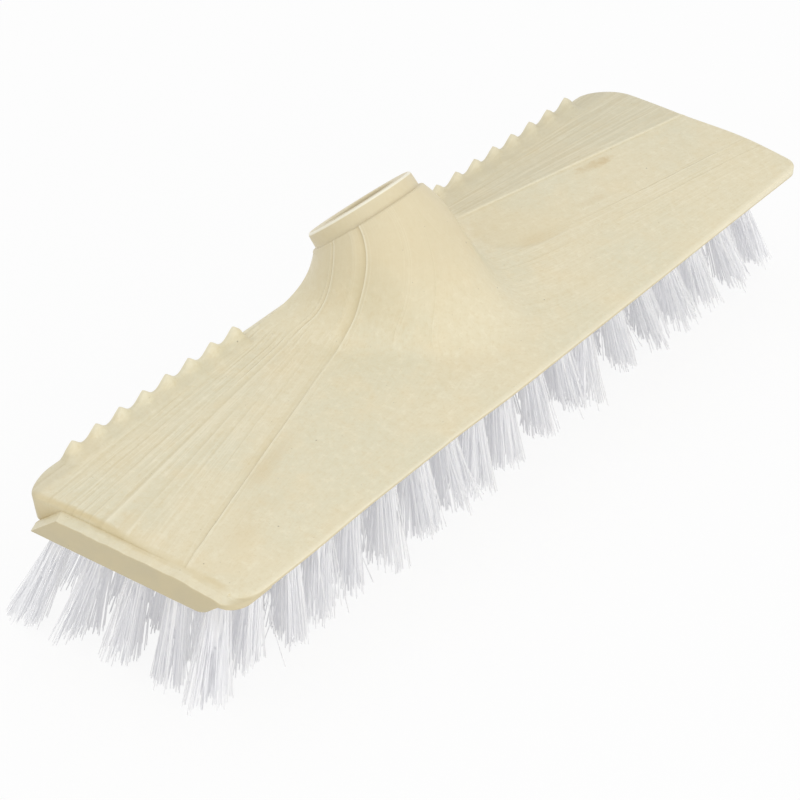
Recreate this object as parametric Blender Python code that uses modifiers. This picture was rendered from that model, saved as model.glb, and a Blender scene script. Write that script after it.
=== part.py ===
"""Deck brush head: one moulded block with a tilted handle socket, and its bristles in columns of tufts.

Metres, +Z up. The bristle tips stand on z = 0. X runs along the block, and its toothed back edge faces +Y.
Sizes along Y are measured from the middle of the board, and heights named RISE or DROP from the back edge
of the board's top. The whole head is then moved along Y, so that it is centred on the origin.
"""
import math
import random

import bmesh
import bpy
from mathutils import Matrix, Vector

# Board
BOARD_LENGTH = 0.301
BOARD_WIDTH = 0.083
BOARD_DEPTH = 0.0095
CREST_Y = 0.013
CREST_RISE = 0.0010
FRONT_DROP = 0.0026
RIM_THICKNESS = 0.0020
RIM_OVERHANG = 0.0095
WALL_DRAFT = 0.0008
EDGE_RADIUS = 0.0008
LEFT_CORNER_REACH_X = 0.0150
LEFT_CORNER_REACH_Y = 0.0065
RIGHT_CORNER_REACH_X = 0.0140
RIGHT_CORNER_REACH_Y = 0.0140
FRONT_CORNER_REACH_X = 0.0080
FRONT_CORNER_REACH_Y = 0.0060
END_DRAFT = 0.0015
END_ROLL_REACH = 0.003
END_ROLL_DROP = 0.0013

# Lip on the left end
LIP_REACH = 0.0045
LIP_TOP_DROP = 0.0013
LIP_BOTTOM_DROP = 0.0092
LIP_BACK_Y = 0.0335
LIP_FRONT_Y = -0.0355
LIP_FRONT_SLANT = 0.0055
LIP_SHOULDER = 0.003
LIP_CORNER_RADIUS = 0.0025

# Teeth along the back edge
TOOTH_PITCH = 0.0107
TOOTH_HEIGHT = 0.0050
TOOTH_RUN = 0.0065
TOOTH_TIP_RADIUS = 0.0009
TEETH_START_X = 0.0500
TEETH_END_MARGIN = 0.0200

# Handle socket
SOCKET_TILT = math.radians(48)
MOUTH_Y = 0.0323
MOUTH_RISE = 0.0275
COLLAR_RADIUS = 0.0187
COLLAR_HEIGHT = 0.0052
COLLAR_BEVEL = 0.0006
BORE_RADIUS = 0.0127
BORE_TAPER = 0.0010
BORE_DEPTH = 0.0340

# Neck that flares from the collar into the board
NECK_SHOULDER = 0.0017
SHOULDER_RADIUS = 0.0009
FLARE_HALF_WIDTH = 0.055
FLARE_NOSE_Y = -0.031
FLARE_BACK_ANGLE = math.radians(-35.0)
FLARE_SIDE_LEAN = math.radians(42.0)
FLARE_FRONT_LEAN = math.radians(3.0)
FLARE_SIDE_PULL = 0.010
FLARE_FRONT_PULL = 0.022
FLARE_FOOT_PULL = 0.6
NECK_EDGE_MARGIN = 0.0006

# Bristles
TRIM = 0.035
TUFT_ROWS = 5
TUFT_PITCH_X = 0.0152
TUFT_PITCH_Y = 0.0130
TUFT_FIELD_Y = 0.0045
TUFT_EDGE_MARGIN = 0.0045
TUFT_END_MARGIN = 0.0018
TUFT_TIP_RING = 0.0039
STRANDS_IN_RING = 4
STRAND_ROOT_RADIUS = 0.0009
STRAND_TIP_RADIUS = 0.0007
STRAND_GAP = 0.0003
STRAND_SIDES = 3
FAN_X = 0.25
END_SPLAY = 0.20
END_SPLAY_POWER = 7
FAN_Y = 0.19
RAGGEDNESS = 0.0030
TIP_CUT = 0.0005
SLICE_THICKNESS = 0.0017
STRAND_SINK = 0.0009
SLICE_CLEARANCE = 0.0003

# Facets
ARC_STEPS = 4
CORNER_STEPS = 7
CROWN_STEPS = 12
ROUND_SEGMENTS = 48
NECK_SEGMENTS = 48
NECK_RINGS = 10
SHARP_ANGLE = math.radians(30)

# Reach of tools past the faces that they cut
OVERCUT = 0.002
SEAM_OVERLAP = 0.0015

TOP = TRIM + BOARD_DEPTH
HALF_LENGTH = BOARD_LENGTH / 2
HALF_WIDTH = BOARD_WIDTH / 2
NECK_RADIUS = COLLAR_RADIUS + NECK_SHOULDER
TUFT_ROOT_RING = 2 * STRAND_ROOT_RADIUS + STRAND_GAP
AXIS = Vector((0, math.cos(SOCKET_TILT), math.sin(SOCKET_TILT)))
MOUTH = Vector((0, MOUTH_Y, TOP + MOUTH_RISE))
COLLAR_BACK_Y = MOUTH_Y + COLLAR_RADIUS * math.sin(SOCKET_TILT) - COLLAR_BEVEL * math.cos(SOCKET_TILT)
HEAD_SHIFT_Y = (HALF_WIDTH - max(COLLAR_BACK_Y, HALF_WIDTH)) / 2


def clear_scene():
    """Remove the objects that a new file starts with."""
    for obj in list(bpy.data.objects):
        bpy.data.objects.remove(obj)


def make_collection(name):
    collection = bpy.data.collections.new(name)
    bpy.context.scene.collection.children.link(collection)
    return collection


def make_material(name, color, roughness):
    material = bpy.data.materials.new(name)
    material.use_nodes = True
    shader = material.node_tree.nodes["Principled BSDF"]
    shader.inputs["Base Color"].default_value = (*color, 1)
    shader.inputs["Roughness"].default_value = roughness
    shader.inputs["Metallic"].default_value = 0
    return material


def link_mesh(name, bm, collection, matrix=None):
    """Make an object from a bmesh, with its faces pointing out, and place it by a matrix."""
    bmesh.ops.recalc_face_normals(bm, faces=bm.faces)
    mesh = bpy.data.meshes.new(name)
    bm.to_mesh(mesh)
    bm.free()
    mesh.shade_smooth()
    mesh.set_sharp_from_angle(angle=SHARP_ANGLE)
    obj = bpy.data.objects.new(name, mesh)
    collection.objects.link(obj)
    if matrix is not None:
        obj.matrix_world = matrix
    return obj


def hide_tool(obj):
    obj.hide_render = True
    obj.display_type = "WIRE"


def combine(obj, tool, operation):
    modifier = obj.modifiers.new(f"{operation.lower()}_{tool.name}", "BOOLEAN")
    modifier.operation = operation
    modifier.solver = "EXACT"
    modifier.object = tool


def arc(center, radius, start, end, steps):
    """Points on a circle from one angle to another, both included."""
    angles = [start + (end - start) * i / steps for i in range(steps + 1)]
    return [(center[0] + radius * math.cos(a), center[1] + radius * math.sin(a)) for a in angles]


def rounded(corners, steps=ARC_STEPS):
    """Round a closed outline. Each corner is (point, radius), and a radius of 0 keeps it sharp."""
    points = []
    for index, (corner, radius) in enumerate(corners):
        here = Vector(corner)
        if radius == 0:
            points.append(here)
            continue
        before = (Vector(corners[index - 1][0]) - here).normalized()
        after = (Vector(corners[(index + 1) % len(corners)][0]) - here).normalized()
        half_angle = before.angle(after) / 2
        reach = radius / math.tan(half_angle)
        center = here + (before + after).normalized() * radius / math.sin(half_angle)
        start = here + before * reach - center
        turn = start.angle_signed(here + after * reach - center)
        points += [center + Matrix.Rotation(-turn * i / steps, 2) @ start for i in range(steps + 1)]
    return points


def extrude_outline(name, points, low, high, collection, matrix=None):
    """Make a prism: a closed outline in X and Y, filled and carried from one height to another."""
    curve = bpy.data.curves.new(name, "CURVE")
    curve.dimensions = "2D"
    curve.fill_mode = "BOTH"
    curve.extrude = (high - low) / 2
    spline = curve.splines.new("POLY")
    spline.points.add(len(points) - 1)
    for spline_point, point in zip(spline.points, points):
        spline_point.co = (point[0], point[1], 0, 1)
    spline.use_cyclic_u = True
    source = bpy.data.objects.new(name, curve)
    collection.objects.link(source)
    mesh = bpy.data.meshes.new_from_object(source.evaluated_get(bpy.context.evaluated_depsgraph_get()))
    bpy.data.objects.remove(source)
    bm = bmesh.new()
    bm.from_mesh(mesh)
    bpy.data.meshes.remove(mesh)
    bmesh.ops.remove_doubles(bm, verts=bm.verts, dist=1e-6)
    bmesh.ops.translate(bm, verts=bm.verts, vec=(0, 0, (low + high) / 2))
    return link_mesh(name, bm, collection, matrix)


def crown_height(y):
    """Height of the board's top, a low crown that falls further at the front than at the back."""
    if y > CREST_Y:
        return TOP + CREST_RISE * (1 - ((y - CREST_Y) / (HALF_WIDTH - CREST_Y)) ** 2)
    return TOP + CREST_RISE - (CREST_RISE + FRONT_DROP) * ((CREST_Y - y) / (HALF_WIDTH + CREST_Y)) ** 2


def across_section():
    """Outline of the board across its width: crown, thin front rim with its undercut, and back wall."""
    rim_bottom = TOP - FRONT_DROP - RIM_THICKNESS
    crown = [HALF_WIDTH - BOARD_WIDTH * i / CROWN_STEPS for i in range(1, CROWN_STEPS)]
    corners = [((HALF_WIDTH - WALL_DRAFT, TRIM), 0), ((HALF_WIDTH, TOP), EDGE_RADIUS)]
    corners += [((y, crown_height(y)), 0) for y in crown]
    corners += [
        ((-HALF_WIDTH, TOP - FRONT_DROP), EDGE_RADIUS),
        ((-HALF_WIDTH, rim_bottom), EDGE_RADIUS),
        ((-HALF_WIDTH + RIM_OVERHANG / 2, rim_bottom), 0),
        ((-HALF_WIDTH + RIM_OVERHANG, TRIM), 0),
    ]
    return rounded(corners)


def plan_outline():
    """Outline of the board from above: four elliptical corners, larger at the back than at the front."""
    corners = [
        (1, 1, RIGHT_CORNER_REACH_X, RIGHT_CORNER_REACH_Y),
        (-1, 1, LEFT_CORNER_REACH_X, LEFT_CORNER_REACH_Y),
        (-1, -1, FRONT_CORNER_REACH_X, FRONT_CORNER_REACH_Y),
        (1, -1, FRONT_CORNER_REACH_X, FRONT_CORNER_REACH_Y),
    ]
    points = []
    for index, (side_x, side_y, reach_x, reach_y) in enumerate(corners):
        center = (side_x * (HALF_LENGTH - reach_x), side_y * (HALF_WIDTH - reach_y))
        start = math.pi / 2 * index
        unit = arc((0, 0), 1, start, start + math.pi / 2, CORNER_STEPS)
        points += [(center[0] + x * reach_x, center[1] + y * reach_y) for x, y in unit]
    return points


def end_profile():
    """Outline of the board along its length: walls with a little draft, rolled over at the top."""
    high = TOP + CREST_RISE + SEAM_OVERLAP / 10
    turns = [math.pi / 2 * i / ARC_STEPS for i in range(ARC_STEPS + 1)]
    right = [
        (
            HALF_LENGTH - END_ROLL_REACH * (1 - math.cos(turn)),
            high - END_ROLL_DROP * (1 - math.sin(turn)),
        )
        for turn in turns
    ]
    right = [(HALF_LENGTH - END_DRAFT, TRIM - OVERCUT)] + right
    left = [(-x, z) for x, z in reversed(right)]
    return right + left


def make_board(parts, tools):
    """Make the board where three prisms meet: its section, its plan and its end profile."""
    stand = Matrix(((0, 0, 1, 0), (1, 0, 0, 0), (0, 1, 0, 0), (0, 0, 0, 1)))
    lay = Matrix(((1, 0, 0, 0), (0, 0, -1, 0), (0, 1, 0, 0), (0, 0, 0, 1)))
    reach = HALF_LENGTH + OVERCUT
    board = extrude_outline("block", across_section(), -reach, reach, parts, stand)
    plan = extrude_outline("plan_tool", plan_outline(), TRIM - OVERCUT, TOP + OVERCUT, tools)
    reach = HALF_WIDTH + OVERCUT
    ends = extrude_outline("ends_tool", end_profile(), -reach, reach, tools, lay)
    combine(board, plan, "INTERSECT")
    combine(board, ends, "INTERSECT")
    return board


def collar_frame():
    """Axes of the socket's mouth: its Z runs out along the socket, and its Y points up the front."""
    side = Vector((1, 0, 0))
    up = AXIS.cross(side)
    rotation = Matrix((side, -up, AXIS)).transposed()
    rotation.col[1] = AXIS.cross(side)
    return Matrix.Translation(MOUTH) @ rotation.to_4x4()


def neck_lean(angle):
    """How far the neck leans out from the socket's axis where it leaves the shoulder."""
    front = max(math.sin(angle), 0) ** 2
    return FLARE_SIDE_LEAN + (FLARE_FRONT_LEAN - FLARE_SIDE_LEAN) * front


def flare_foot(angle):
    """Point of the flare's outline on the board: straight along the back edge, and a rounded nose."""
    back_y = HALF_WIDTH - NECK_EDGE_MARGIN
    turn = (math.pi / 2 - angle) / (math.pi / 2 - FLARE_BACK_ANGLE)
    if turn < 1:
        x = FLARE_HALF_WIDTH * turn ** 1.1
        y = FLARE_NOSE_Y + (back_y - FLARE_NOSE_Y) * turn ** 2
    else:
        x = FLARE_HALF_WIDTH * (angle + math.pi / 2) / (FLARE_BACK_ANGLE + math.pi / 2)
        y = back_y
    return Vector((x, y, crown_height(y) - EDGE_RADIUS / 4))


def neck_line(angle, mirror):
    """Points from the shoulder down to the board, and on into it, at one angle round the socket."""
    frame = collar_frame()
    rotation = frame.to_3x3()
    outward = rotation @ Vector((math.cos(angle), -math.sin(angle), 0))
    points = []
    for step in range(3):
        turn = math.pi / 2 * step / 2
        radius = NECK_RADIUS - SHOULDER_RADIUS * (1 - math.sin(turn))
        depth = COLLAR_HEIGHT + SHOULDER_RADIUS * (1 - math.cos(turn))
        points.append(MOUTH - AXIS * depth + outward * radius)
    top = points.pop()
    foot = flare_foot(angle)
    lean = neck_lean(angle)
    front = max(math.sin(angle), 0) ** 2
    pull = FLARE_SIDE_PULL + (FLARE_FRONT_PULL - FLARE_SIDE_PULL) * front
    leaving = top + (outward * math.sin(lean) - AXIS * math.cos(lean)) * pull
    inward = Vector((top.x - foot.x, top.y - foot.y, 0)) * FLARE_FOOT_PULL
    arriving = foot + inward
    arriving.z = crown_height(min(arriving.y, HALF_WIDTH)) - EDGE_RADIUS / 4
    for step in range(NECK_RINGS + 1):
        t = step / NECK_RINGS
        s = 1 - t
        points.append(top * s ** 3 + leaving * 3 * s * s * t + arriving * 3 * s * t * t + foot * t ** 3)
    points.append(Vector((foot.x, foot.y, TRIM + BOARD_DEPTH / 2)))
    return [Vector((point.x * mirror, point.y, point.z)) for point in points]


def make_neck(tools):
    """Loft the neck from the shoulder ring under the collar to the wide foot on the board."""
    lines = []
    for index in range(NECK_SEGMENTS):
        turn = math.pi * 2 * index / NECK_SEGMENTS
        angle = math.pi / 2 - min(turn, math.pi * 2 - turn)
        lines.append(neck_line(angle, 1 if turn <= math.pi else -1))
    bm = bmesh.new()
    grid = [[bm.verts.new(point) for point in line] for line in lines]
    for index, line in enumerate(grid):
        following = grid[(index + 1) % len(grid)]
        for step in range(len(line) - 1):
            bm.faces.new((line[step], line[step + 1], following[step + 1], following[step]))
    bm.faces.new([line[0] for line in grid])
    bm.faces.new([line[-1] for line in grid])
    return link_mesh("neck_tool", bm, tools)


def make_collar(tools):
    """Make the ring round the socket's mouth, which runs down into the neck."""
    depth = COLLAR_HEIGHT + OVERCUT
    bm = bmesh.new()
    bmesh.ops.create_cone(
        bm,
        cap_ends=True,
        segments=ROUND_SEGMENTS,
        radius1=COLLAR_RADIUS,
        radius2=COLLAR_RADIUS,
        depth=depth,
        matrix=Matrix.Translation((0, 0, -depth / 2)),
    )
    collar = link_mesh("collar_tool", bm, tools, collar_frame())
    bevel = collar.modifiers.new("edge", "BEVEL")
    bevel.width = COLLAR_BEVEL
    bevel.segments = 2
    return collar


def make_bore(tools):
    """Make the cutter of the handle's bore, a little narrower at its floor than at its mouth."""
    depth = BORE_DEPTH + OVERCUT
    widening = BORE_TAPER * OVERCUT / BORE_DEPTH
    bm = bmesh.new()
    bmesh.ops.create_cone(
        bm,
        cap_ends=True,
        segments=ROUND_SEGMENTS,
        radius1=BORE_RADIUS - BORE_TAPER,
        radius2=BORE_RADIUS + widening,
        depth=depth,
        matrix=Matrix.Translation((0, 0, depth / 2 - BORE_DEPTH)),
    )
    return link_mesh("bore_tool", bm, tools, collar_frame())


def make_lip(tools):
    """Make the plate on the left end, with its slanted back end and its rounded front corner."""
    top = TOP - LIP_TOP_DROP
    bottom = TOP - LIP_BOTTOM_DROP
    slant = LIP_BOTTOM_DROP - LIP_TOP_DROP
    corners = [
        ((LIP_BACK_Y, bottom), 0),
        ((LIP_BACK_Y - slant, top), 0),
        ((LIP_FRONT_Y + LIP_SHOULDER, top), 0),
        ((LIP_FRONT_Y, crown_height(LIP_FRONT_Y) - EDGE_RADIUS), EDGE_RADIUS),
        ((LIP_FRONT_Y + LIP_FRONT_SLANT, bottom), LIP_CORNER_RADIUS),
    ]
    stand = Matrix(((0, 0, 1, 0), (1, 0, 0, 0), (0, 1, 0, 0), (0, 0, 0, 1)))
    outer = -HALF_LENGTH - LIP_REACH
    inner = -HALF_LENGTH + SEAM_OVERLAP
    return extrude_outline("lip_tool", rounded(corners), outer, inner, tools, stand)


def make_teeth(tools):
    """Make the pointed teeth in two groups, one each side of the neck, as one tool of separate points."""
    first = math.ceil(TEETH_START_X / TOOTH_PITCH)
    last = math.floor((HALF_LENGTH - TEETH_END_MARGIN) / TOOTH_PITCH)
    sink = SEAM_OVERLAP
    height = TOOTH_HEIGHT + sink
    back_y = HALF_WIDTH - EDGE_RADIUS / 2
    bm = bmesh.new()
    for index in range(first, last + 1):
        for side in (-1, 1):
            made = bmesh.ops.create_cone(
                bm,
                cap_ends=True,
                segments=4,
                radius1=math.sqrt(0.5),
                radius2=math.sqrt(0.5) * 2 * TOOTH_TIP_RADIUS / TOOTH_PITCH,
                depth=1,
                matrix=Matrix.Rotation(math.pi / 4, 4, "Z"),
            )
            tip = [vert for vert in made["verts"] if vert.co.z > 0]
            bmesh.ops.scale(bm, verts=made["verts"], vec=(TOOTH_PITCH - SLICE_CLEARANCE, TOOTH_RUN, height))
            place = Vector((side * index * TOOTH_PITCH, back_y - TOOTH_RUN / 2, TOP - sink + height / 2))
            bmesh.ops.translate(bm, verts=made["verts"], vec=place)
            bmesh.ops.translate(bm, verts=tip, vec=(0, TOOTH_RUN / 2 - TOOTH_TIP_RADIUS - WALL_DRAFT, 0))
    return link_mesh("teeth_tool", bm, tools)


def field_size():
    """Columns of tufts that the board has room for, and the length and width of the bristle field."""
    room = BOARD_LENGTH - 2 * (TUFT_END_MARGIN + END_DRAFT)
    columns = math.floor(room / TUFT_PITCH_X + SLICE_CLEARANCE)
    width = (TUFT_ROWS - 1) * TUFT_PITCH_Y + 2 * TUFT_EDGE_MARGIN
    return columns, columns * TUFT_PITCH_X, width


def make_box(name, size, center, collection):
    bm = bmesh.new()
    bmesh.ops.create_cube(bm, size=1, matrix=Matrix.Translation(center) @ Matrix.Diagonal((*size, 1)))
    return link_mesh(name, bm, collection)


def make_pocket(tools):
    """Make the cutter of the shallow pocket in the underside that the slices of bristles sit in."""
    _, length, width = field_size()
    depth = SLICE_THICKNESS + SLICE_CLEARANCE
    size = (length + SLICE_CLEARANCE, width + 2 * SLICE_CLEARANCE, depth + OVERCUT)
    center = (0, TUFT_FIELD_Y, TRIM + (depth - OVERCUT) / 2)
    return make_box("pocket_tool", size, center, tools)


def make_block(parts, tools, material):
    """Make the block: board, neck, collar, lip and teeth as one solid, then its bore and pocket."""
    block = make_board(parts, tools)
    for tool in (make_neck(tools), make_lip(tools), make_teeth(tools), make_collar(tools)):
        combine(block, tool, "UNION")
    for tool in (make_bore(tools), make_pocket(tools)):
        combine(block, tool, "DIFFERENCE")
    block.data.materials.append(material)
    return block


def strand_lean(x, y):
    """Outward lean of a tuft rooted at x, y: a fan that grows to the edges, sharper at the ends."""
    columns, _, _ = field_size()
    along = x / ((columns - 1) / 2 * TUFT_PITCH_X)
    across = (y - TUFT_FIELD_Y) / ((TUFT_ROWS - 1) / 2 * TUFT_PITCH_Y)
    return Vector((FAN_X * along + END_SPLAY * along ** END_SPLAY_POWER, FAN_Y * across))


def add_strand(bm, root, tip):
    """Add one tapered strand, sunk a little into the slice above its root."""
    way = (tip - root).normalized()
    start = root - way * STRAND_SINK
    length = (tip - start).length
    turn = way.to_track_quat("Z", "Y").to_matrix().to_4x4()
    bmesh.ops.create_cone(
        bm,
        cap_ends=True,
        segments=STRAND_SIDES,
        radius1=STRAND_ROOT_RADIUS,
        radius2=STRAND_TIP_RADIUS,
        depth=length,
        matrix=Matrix.Translation((start + tip) / 2) @ turn,
    )


def add_tuft(bm, x, y, side, chance):
    """Add one tuft: a strand in the middle and a ring of strands that opens towards the tips."""
    lean = strand_lean(x, y)
    starts = [Vector((0, 0))]
    first = chance.uniform(0, math.pi)
    for index in range(STRANDS_IN_RING):
        angle = first + math.pi * 2 * index / STRANDS_IN_RING
        starts.append(Vector((math.cos(angle), math.sin(angle))))
    for start in starts:
        root = Vector((x + side * start.x * TUFT_ROOT_RING, y + start.y * TUFT_ROOT_RING, TRIM))
        drop = TRIM + TIP_CUT - RAGGEDNESS * chance.random() ** 2
        spread = Vector((side * start.x, start.y)) * (TUFT_TIP_RING - TUFT_ROOT_RING)
        tip = root + Vector((lean.x * drop + spread.x, lean.y * drop + spread.y, -drop))
        add_strand(bm, root, tip)


def cut_flat(bm):
    """Cut the longest strands off flat on the floor, and close their ends."""
    geometry = bm.verts[:] + bm.edges[:] + bm.faces[:]
    bmesh.ops.bisect_plane(bm, geom=geometry, plane_co=(0, 0, 0), plane_no=(0, 0, -1), clear_outer=True)
    bmesh.ops.holes_fill(bm, edges=[edge for edge in bm.edges if edge.is_boundary], sides=0)


def make_column(number, x, parts, tools, material):
    """Make one column of tufts, standing in a slice of the block that lies in the pocket."""
    _, _, width = field_size()
    side = -1 if x < 0 else 1
    bm = bmesh.new()
    for row in range(TUFT_ROWS):
        y = TUFT_FIELD_Y + (row - (TUFT_ROWS - 1) / 2) * TUFT_PITCH_Y
        chance = random.Random(round(abs(x) / TUFT_PITCH_X) * TUFT_ROWS + row)
        add_tuft(bm, x, y, side, chance)
    cut_flat(bm)
    strands = link_mesh(f"strands_tool_{number:02d}", bm, tools)
    size = (TUFT_PITCH_X - SLICE_CLEARANCE, width, SLICE_THICKNESS)
    center = (x, TUFT_FIELD_Y, TRIM + SLICE_THICKNESS / 2)
    column = make_box(f"tuft_column_{number:02d}", size, center, parts)
    combine(column, strands, "UNION")
    column.data.materials.append(material)
    return column


def main():
    clear_scene()
    parts = make_collection("deck_brush")
    tools = make_collection("cutters")
    cream = make_material("cream_plastic", (0.76, 0.69, 0.50), 0.45)
    nylon = make_material("white_nylon", (0.86, 0.86, 0.88), 0.35)
    head = bpy.data.objects.new("head", None)
    parts.objects.link(head)
    made = [make_block(parts, tools, cream)]
    columns, _, _ = field_size()
    for index in range(columns):
        x = (index - (columns - 1) / 2) * TUFT_PITCH_X
        made.append(make_column(index + 1, x, parts, tools, nylon))
    for tool in tools.objects:
        hide_tool(tool)
    for obj in made + list(tools.objects):
        obj.parent = head
    head.location = (0, HEAD_SHIFT_Y, 0)


main()
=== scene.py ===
"""Looks of the deck brush head: a moulded cream block and its 19 columns of white nylon tufts.

Metres, +Z up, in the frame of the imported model: X runs along the block, its toothed back edge faces +Y,
and the tips of the bristles stand on z = 0. Sizes along Y are measured from the middle of the board, and
every finished mesh is then moved by HEAD_SHIFT_Y, as the model's own pieces are.
"""
import logging
import math
from collections.abc import Callable
from dataclasses import dataclass, field
from enum import Enum
from typing import Any

import bmesh
import bpy
import numpy as np
from mathutils import Matrix


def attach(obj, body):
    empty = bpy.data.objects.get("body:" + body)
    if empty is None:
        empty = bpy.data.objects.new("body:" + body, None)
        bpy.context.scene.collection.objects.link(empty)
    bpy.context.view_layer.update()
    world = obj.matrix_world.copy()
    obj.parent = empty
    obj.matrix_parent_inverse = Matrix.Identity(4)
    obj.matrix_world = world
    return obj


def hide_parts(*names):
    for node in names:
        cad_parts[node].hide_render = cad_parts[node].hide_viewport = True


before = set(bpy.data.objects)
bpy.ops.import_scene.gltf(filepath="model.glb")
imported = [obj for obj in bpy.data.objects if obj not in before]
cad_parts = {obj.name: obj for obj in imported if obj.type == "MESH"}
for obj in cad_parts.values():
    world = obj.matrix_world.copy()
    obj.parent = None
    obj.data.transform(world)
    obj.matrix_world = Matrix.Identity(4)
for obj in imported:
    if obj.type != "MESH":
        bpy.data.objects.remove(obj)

Array = np.ndarray
Pair = tuple[float, float]
Triple = tuple[float, float, float]
log = logging.getLogger("deck_brush")

HEAD_SHIFT_Y = -0.002148
FLOW, RELIEF, STRAND = "flow", "relief", "strand"
QUARTER = math.pi / 2

# Sizes that the block's shape and its finish share.
HALF_LENGTH, HALF_WIDTH = 0.1505, 0.0415
END_SLANT, END_SLANT_MIDDLE = 0.042, -0.004
RIDGE_START, RIDGE_SLOPE = (0.0486, 0.0271), 0.2106
NECK_LINES = (0.90, 1.38)  # strengths at which a grain line starts to be, and is, one of the neck's steps
STEP_WIDTH = 0.9  # millimetres over which the skin sinks beside such a step
STEP_RETURN = (0.70, 0.25)  # shares of the way to the next line between which it comes back


class Slot(Enum):
    """Names of material slots for the block and the bristles; nothing in this script uses them."""

    BLOCK = "block"
    BRISTLES = "bristles"


class Part(Enum):
    """Parts of half of the board's outline, from the middle of the front to the middle of the back."""

    FRONT_EDGE = 0
    FRONT_CORNER = 1
    END = 2
    BACK_CORNER = 3
    BACK_EDGE = 4


# ---------------------------------------------------------------- shader maths


def operation(name: str, swapped: bool = False) -> Callable[..., "Value"]:
    """Make a method of Value that adds one Math node.

    Args:
        name: Operation of the node.
        swapped: Whether the value comes last, as with a number on its left.

    Returns:
        The method.
    """

    def method(self: "Value", *others: "Value | float") -> "Value":
        """Add the Math node on the value and the other terms."""
        return self.graph.math(name, *((*others, self) if swapped else (self, *others)))

    return method


class Value:
    """A shader socket that takes part in Python expressions on numbers."""

    __add__, __radd__ = operation("ADD"), operation("ADD", swapped=True)
    __sub__, __rsub__ = operation("SUBTRACT"), operation("SUBTRACT", swapped=True)
    __mul__, __rmul__ = operation("MULTIPLY"), operation("MULTIPLY", swapped=True)
    __truediv__, __pow__ = operation("DIVIDE"), operation("POWER")
    absolute, fraction, floor = operation("ABSOLUTE"), operation("FRACT"), operation("FLOOR")
    greatest, least = operation("MAXIMUM"), operation("MINIMUM")

    def __init__(self, graph: "Graph", socket: Any) -> None:
        """Keep the socket and the graph that its maths nodes go into."""
        self.graph = graph
        self.socket = socket

    def clamped(self) -> "Value":
        """The value kept from 0 to 1."""
        return Value(self.graph, self.graph.node("ShaderNodeClamp", inputs={"Value": self}).outputs["Result"])

    def between(self, low: float, high: float) -> "Value":
        """A smooth rise, or a fall where high is the smaller.

        Args:
            low: Value at which the result is 0.
            high: Value at which the result is 1.

        Returns:
            The result, from 0 to 1.
        """
        inputs = {"Value": self, "From Min": low, "From Max": high, "To Min": 0.0, "To Max": 1.0}
        node = self.graph.node("ShaderNodeMapRange", {"interpolation_type": "SMOOTHSTEP"}, inputs)
        return Value(self.graph, node.outputs["Result"])


class Graph:
    """The node tree of one material or of the world, built by expressions."""

    def __init__(self, owner: bpy.types.Material | bpy.types.World) -> None:
        """Take over the nodes of a new material or world, with its main shader.

        Args:
            owner: The material or world.
        """
        owner.use_nodes = True
        self.owner = owner
        self.tree = owner.node_tree
        self.shader = next(node for node in self.tree.nodes if node.type in {"BSDF_PRINCIPLED", "BACKGROUND"})

    def node(
        self, kind: str, settings: dict[str, Any] | None = None, inputs: dict[Any, Any] | None = None
    ) -> bpy.types.Node:
        """Add one node, set it up, then fill or link its sockets.

        Args:
            kind: Type of the node.
            settings: Properties of the node.
            inputs: What goes into its sockets, as for fill.

        Returns:
            The new node.
        """
        made = self.tree.nodes.new(kind)
        for key, setting in (settings or {}).items():
            setattr(made, key, setting)
        self.fill(made, inputs or {})
        return made

    def fill(self, node: bpy.types.Node, inputs: dict[Any, Any]) -> None:
        """Fill or link sockets of a node.

        Args:
            node: The node.
            inputs: Socket names or numbers, with a number, a tuple, a Value or an output socket for each.
        """
        for key, given in inputs.items():
            if isinstance(given, Value):
                given = given.socket
            if isinstance(given, bpy.types.NodeSocket):
                self.tree.links.new(given, node.inputs[key])
            else:
                node.inputs[key].default_value = given

    def math(self, name: str, *terms: Value | float) -> Value:
        """Add one Math node for an operation on one or two terms."""
        return Value(self, self.node("ShaderNodeMath", {"operation": name}, dict(enumerate(terms))).outputs[0])

    def vector(self, x: Value | float, y: Value | float, z: Value | float) -> bpy.types.NodeSocket:
        """Put three numbers together as a vector."""
        return self.node("ShaderNodeCombineXYZ", inputs={0: x, 1: y, 2: z}).outputs[0]

    def parts(self, vector: bpy.types.NodeSocket) -> tuple[Value, Value, Value]:
        """Take a vector apart into its three numbers."""
        node = self.node("ShaderNodeSeparateXYZ", inputs={0: vector})
        return tuple(Value(self, node.outputs[index]) for index in range(3))

    def attribute(self, name: str) -> tuple[Value, Value, Value]:
        """The three numbers of a vector that the mesh carries under a name."""
        return self.parts(self.node("ShaderNodeAttribute", {"attribute_name": name}).outputs["Vector"])

    def noise(self, vector: Any, scale: float, detail: float = 2.0, roughness: float = 0.5) -> Value:
        """Add a noise pattern.

        Args:
            vector: Coordinates of the pattern.
            scale: Waves per metre of those coordinates.
            detail: Number of finer layers.
            roughness: Strength of the finer layers.

        Returns:
            The pattern, about 0.5 on average.
        """
        inputs = {"Vector": vector, "Scale": scale, "Detail": detail, "Roughness": roughness}
        return Value(self, self.node("ShaderNodeTexNoise", inputs=inputs).outputs[0])

    def painted(self, color: Any, layers: list[tuple[Value, Triple]]) -> Any:
        """Lay colours over a first one, in order.

        Args:
            color: The first colour, a tuple or a socket.
            layers: The share that each further colour takes of the surface, and that colour.

        Returns:
            The socket of the last mix.
        """
        for share, tone in layers:
            first = (*color, 1.0) if isinstance(color, tuple) else color
            color = self.node("ShaderNodeMix", {"data_type": "RGBA"}, {0: share, 6: first, 7: (*tone, 1.0)}).outputs[2]
        return color


# ---------------------------------------------------------------- finishes


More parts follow.
